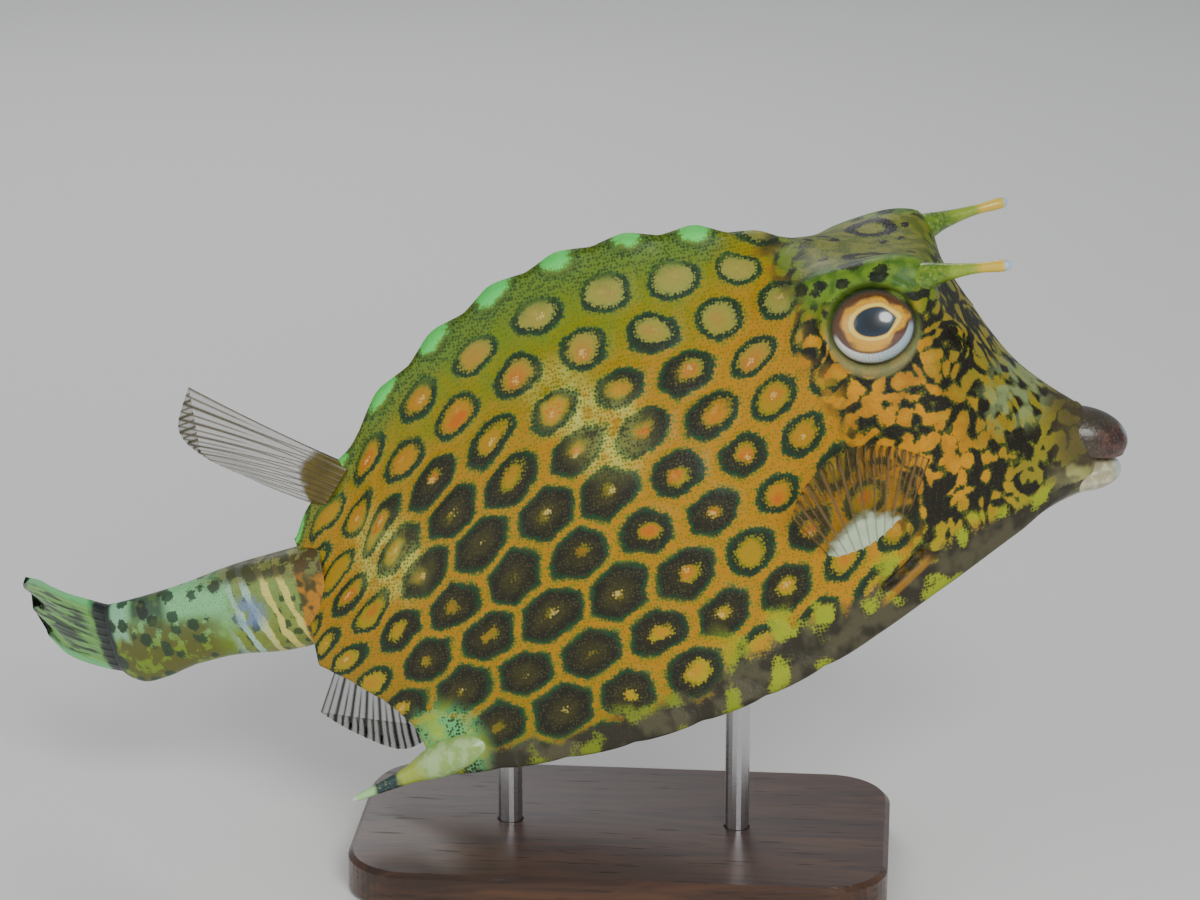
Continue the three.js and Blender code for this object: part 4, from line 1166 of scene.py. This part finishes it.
def makeSpikes(name, node, look, spike):
    material = spikeFinish(look, spike)
    flipped = [(x, -y, z) for x, y, z in spike["path"]]
    for side, path in (("right", spike["path"]), ("left", flipped)):
        dress(tube(name + side.capitalize(), path, spike["radius"]), material, [f"{node}_{side}"])


makeSpikes("horn", "horn", "hornFinish", horn)
makeSpikes("rearSpine", "rear_spine", "spineFinish", spine)
print("horns and spines made")


# Eyes: a ball with iris and pupil, under a clear cornea

eyes = {
    "radii": (10.2, 6.2, 9.0), "sunk": 2.6, "tilt": -14.0, "cornea": 0.45,
    "pupil": {"x": 0.1, "z": 0.14, "halfWidth": 0.5, "halfHeight": 0.39},
    "tones": {
        "gold": (222, 148, 0), "goldPale": (244, 190, 0), "brown": (84, 34, 0), "ring": (255, 228, 110),
        "silver": (252, 252, 240), "silverBlue": (176, 196, 206), "silverEdge": (84, 40, 10),
        "pupil": (2, 14, 24), "pupilEdge": (4, 40, 60), "rim": (36, 32, 22),
        "clear": (200, 214, 220), "haze": (150, 156, 140),
    },
}


def eyeCentre():
    eye = skin["eye"]
    row = np.array([rowAtHeight(eye["x"], eye["z"])])
    x = np.array([eye["x"]])
    return (shellPoint(x, row) - eyes["sunk"] * shellNormal(x, row))[0]


def eyePlaceOn(side, radii):
    centre = eyeCentre()
    tilt = math.radians(eyes["tilt"])

    def place(u, v):
        # u runs from the pupil, which faces out, round to the back of the ball
        polar, turn = np.pi * u**1.15, 2 * np.pi * v
        x = radii[0] * np.sin(polar) * np.cos(turn)
        z = radii[2] * np.sin(polar) * np.sin(turn)
        y = -radii[1] * np.cos(polar)
        turnedY = y * math.cos(tilt) - z * math.sin(tilt)
        turnedZ = y * math.sin(tilt) + z * math.cos(tilt)
        return np.stack([centre[0] + x, -side * (centre[1] + turnedY), centre[2] + turnedZ], 1)

    return place


def faceOn(u, v):
    # The eye seen face on: how far towards the snout and up from its middle, as shares of its radius
    polar, turn = np.pi * u**1.15, 2 * np.pi * v
    return np.stack([np.sin(polar) * np.cos(turn), np.where(u < 0.6, np.sin(polar) * np.sin(turn), 3.0)], 1)


def irisFinish():
    recipe = Recipe("irisFinish", eyes["tones"], Roughness=0.25, Coat_Weight=1.0, Coat_Roughness=0.03)
    band, layers, hole = recipe.band, recipe.layers, eyes["pupil"]
    ahead, up = recipe.uv()
    soft = recipe.noise(recipe.fishPlace(), 2.6)
    fine = recipe.noise(recipe.joined(ahead * 3, up * 3), 0.12)
    pupilX, pupilZ = ahead - hole["x"], up - hole["z"]
    corner = band(pupilX, 0.2, 0.5) * abs(pupilZ) * 0.7
    pupil = span(pupilX / hole["halfWidth"], pupilZ / hole["halfHeight"]) + corner
    lifted = span(ahead, up - 0.2)
    sides = band(abs(ahead + 0.12), 0.2, 0.55).larger(band(up, 0.45, 0.62))
    brown = band(pupil + (soft - 0.5) * 0.7, 1.45, 1.75) * sides
    edge = band(lifted, 0.8, 0.86) * band(lifted, 0.92, 0.88) * band(up, 0.1, -0.1)
    colour = layers(
        "gold", (band(fine, 0.4, 0.65), "goldPale"), (brown * 0.95, "brown"),
        (band(pupil, 1.02, 1.1) * band(pupil, 1.34, 1.2) * 0.9, "ring"),
        (band(lifted, 0.86, 0.92) * band(up, 0.05, -0.2), layers(
            "silver", (band(fine + ahead * 0.3, 0.3, 0.6), "silverBlue"),
        )),
        (edge * 0.8, "silverEdge"),
        (band(pupil, 1.03, 0.98), layers("pupil", (band(pupil, 0.3, 1.0), "pupilEdge"))),
        (band(span(ahead, up), 0.93, 0.99), "rim"),
    )
    return recipe.finish(Base_Color=colour, Normal=recipe.bump(fine, 0.0001, 0.3))


def corneaFinish():
    gloss = {"Roughness": 0.02, "IOR": 1.38, "Coat_Weight": 1.0, "Coat_Roughness": 0.02}
    recipe = Recipe("corneaFinish", eyes["tones"], **gloss)
    haze = recipe.band(span(*recipe.uv()), 0.8, 1.0)
    return recipe.finish(Base_Color=recipe.layers("clear", (haze, "haze")), Alpha=haze * 0.14 + 0.03)


def makeEyes():
    iris, cornea = irisFinish(), corneaFinish()
    inner = tuple(radius - eyes["cornea"] for radius in eyes["radii"])
    for side, label in ((-1, "right"), (1, "left")):
        name = label.capitalize()
        ball = wrapGrid("eyeBall" + name, 60, 64, eyePlaceOn(side, inner), {"UVMap": faceOn})
        dress(ball, iris, ["eye_" + label])
        clear = wrapGrid("cornea" + name, 48, 56, eyePlaceOn(side, eyes["radii"]), {"UVMap": faceOn})
        dress(clear, cornea)


makeEyes()
print("eyes made")


# Lips

lips = {
    "upper": {
        "radii": (11.5, 7.5, 7.3), "place": (237.6, 0, 4.2), "turn": 20, "facing": 1,
        "tones": {
            # The tip tone is a thin pale blue rim at the lip's front edge, partly its own colour and partly a
            # painted highlight
            "lip": (58, 36, 30), "lipOther": (96, 62, 50), "top": (56, 56, 42), "tip": (160, 200, 214),
            "rear": (66, 58, 40), "fleck": (220, 210, 190),
        },
    },
    "lower": {
        "radii": (8.9, 6.8, 4.5), "place": (237, 0, -4.8), "turn": 4, "facing": -1,
        "tones": {
            "lip": (216, 212, 176), "lipOther": (176, 168, 132), "tip": (190, 216, 212),
            "fleck": (220, 210, 190),
        },
    },
    "line": {"x": 247, "z": -3.1, "turn": 22, "half": 0.35},
}


def lipPlaceOn(lip):
    line, facing, turn = lips["line"], lip["facing"], math.radians(lip["turn"])
    slope = math.tan(math.radians(line["turn"]))

    def place(u, v):
        polar, around = np.pi * u, 2 * np.pi * v
        x = lip["radii"][0] * np.cos(polar)
        y = lip["radii"][1] * np.sin(polar) * np.cos(around)
        z = lip["radii"][2] * np.sin(polar) * np.sin(around)
        px = lip["place"][0] + x * math.cos(turn) + z * math.sin(turn)
        pz = lip["place"][2] - x * math.sin(turn) + z * math.cos(turn)
        # Pressed flat, with a soft corner, where it meets the line of the mouth
        lineZ = line["z"] - (px - line["x"]) * slope
        gap = facing * (pz - lineZ) - line["half"]
        pressed = lineZ + facing * (line["half"] + np.logaddexp(0, (gap - 0.2) * 2.2) / 2.2 * 0.9)
        return np.stack([px, y, np.where(gap < 1.2, pressed, pz)], 1)

    return place


def lipFinish(name, lip):
    recipe = Recipe(
        name, lip["tones"], Roughness=0.38, Coat_Weight=0.35, Coat_Roughness=0.2,
        **fleshy(0.15, (0.004, 0.002, 0.001)),
    )
    band = recipe.band
    place = recipe.fishPlace()
    x, _, z = recipe.parts(place)
    soft, fine = recipe.noise(place, 2.6, 3.0), recipe.noise(place, 0.6, 1.0)
    drift = soft - 0.5
    coats = [(band(x, 243.0, 246.0) * 0.7, "tip")]
    # On the upper lip the thin pale blue rim along the front edge is partly the lip's colour and partly a
    # painted highlight
    if lip["facing"] > 0:
        coats = [
            (band(z + drift * 5, 4.5, 8.5) * 0.85, "top"), (band(x + z * 0.3, 248.8, 249.8), "tip"),
            (band(x + drift * 4, 243.5, 239.5) * 0.85, "rear"),
        ]
    fleck = band(fine, 0.5, 0.8) * 0.1
    colour = recipe.layers("lip", (band(soft, 0.4, 0.62), "lipOther"), *coats, (fleck, "fleck"))
    return recipe.finish(Base_Color=colour, Normal=recipe.bump(soft + fine * 0.5, 0.0004, 0.5))


for name in ("upper", "lower"):
    lipPiece = wrapGrid("lip" + name.capitalize(), 60, 72, lipPlaceOn(lips[name]))
    dress(lipPiece, lipFinish(name + "LipFinish", lips[name]), ["lip_" + name])
print("lips made")


# Stand: the solids keep their shape and get wood and steel

stand = {
    "wood": {"wood": (52, 32, 22), "woodPale": (92, 60, 38), "figure": (70, 42, 26), "pores": (28, 18, 12)},
    "steel": {"steel": (190, 190, 192), "steelPale": (216, 216, 218)},
}


def woodFinish():
    recipe = Recipe("standWood", stand["wood"], Roughness=0.4, Coat_Weight=0.35, Coat_Roughness=0.25)
    band, noise = recipe.band, recipe.noise
    fibres = recipe.scaled(90, 900, 900, turn=(0.05, 0, 0.04))
    grain = noise(fibres, 6.0, 6.0, 0.6, 1.4)
    figure = noise(recipe.scaled(14, 150, 150), 1.0, 3.0, 0.5, 0.8)
    pores = band(noise(fibres, 1.2), 0.6, 0.72)
    colour = recipe.layers(
        "wood", (band(grain, 0.35, 0.65), "woodPale"), (band(figure, 0.4, 0.6) * 0.5, "figure"),
        (pores * 0.5, "pores"),
    )
    rough = 0.34 + pores * 0.25
    return recipe.finish(Base_Color=colour, Roughness=rough, Normal=recipe.bump(1 - pores, 0.0001, 0.5))


def steelFinish():
    recipe = Recipe("standSteel", stand["steel"], Metallic=1.0, Roughness=0.3)
    brushed = recipe.noise(recipe.scaled(400, 400, 9000), 1.0)
    colour = recipe.layers("steel", (brushed, "steelPale"))
    rough = 0.22 + brushed * 0.16
    return recipe.finish(Base_Color=colour, Roughness=rough, Normal=recipe.bump(brushed, 0.00003, 0.4))


def dressStand():
    wood, steel = woodFinish(), steelFinish()
    for node, material in (("stand_base", wood), ("stand_rod_front", steel), ("stand_rod_rear", steel)):
        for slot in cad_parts[node].material_slots:
            slot.material = material


dressStand()
print("stand dressed")


# Floor and light

studio = {
    "floor": {"floor": (240, 240, 237), "floorPale": (246, 246, 243)},
    "world": (0.93, 0.95, 1.0, 1),
    "worldStrength": 0.36,
    "lamps": [
        {"name": "keyLight", "place": (0.4, -0.95, 0.8), "aim": (0, 0, 0.09), "size": 0.5, "power": 8.8},
        {"name": "fillLight", "place": (-0.9, -0.7, 0.45), "aim": (0, 0, 0.08), "size": 0.9, "power": 2.2},
        {"name": "rimLight", "place": (-0.3, 0.9, 0.8), "aim": (0, 0, 0.1), "size": 0.6, "power": 3.2},
    ],
}


def makeFloor():
    sheet = bmesh.new()
    bmesh.ops.create_grid(sheet, x_segments=2, y_segments=2, size=6)
    floor = settle("floor", sheet, False)
    recipe = Recipe("floorPaint", studio["floor"], Roughness=0.75)
    faint = recipe.noise(recipe.scaled(1, 1, 1), 0.4)
    floor.data.materials.append(recipe.finish(Base_Color=recipe.layers("floor", (faint, "floorPale"))))


def makeLight(name, place, aim, size, power):
    lamp = bpy.data.lights.new(name, "AREA")
    lamp.shape, lamp.size, lamp.energy = "DISK", size, power
    light = bpy.data.objects.new(name, lamp)
    light.location = place
    light.rotation_euler = (Vector(aim) - Vector(place)).to_track_quat("-Z", "Y").to_euler()
    bpy.context.scene.collection.objects.link(light)


def makeStudio():
    makeFloor()
    for lamp in studio["lamps"]:
        makeLight(**lamp)
    world = bpy.data.worlds.new("studio")
    world.use_nodes = True
    background = world.node_tree.nodes["Background"]
    background.inputs["Color"].default_value = studio["world"]
    background.inputs["Strength"].default_value = studio["worldStrength"]
    bpy.context.scene.world = world


makeStudio()
print("studio made")
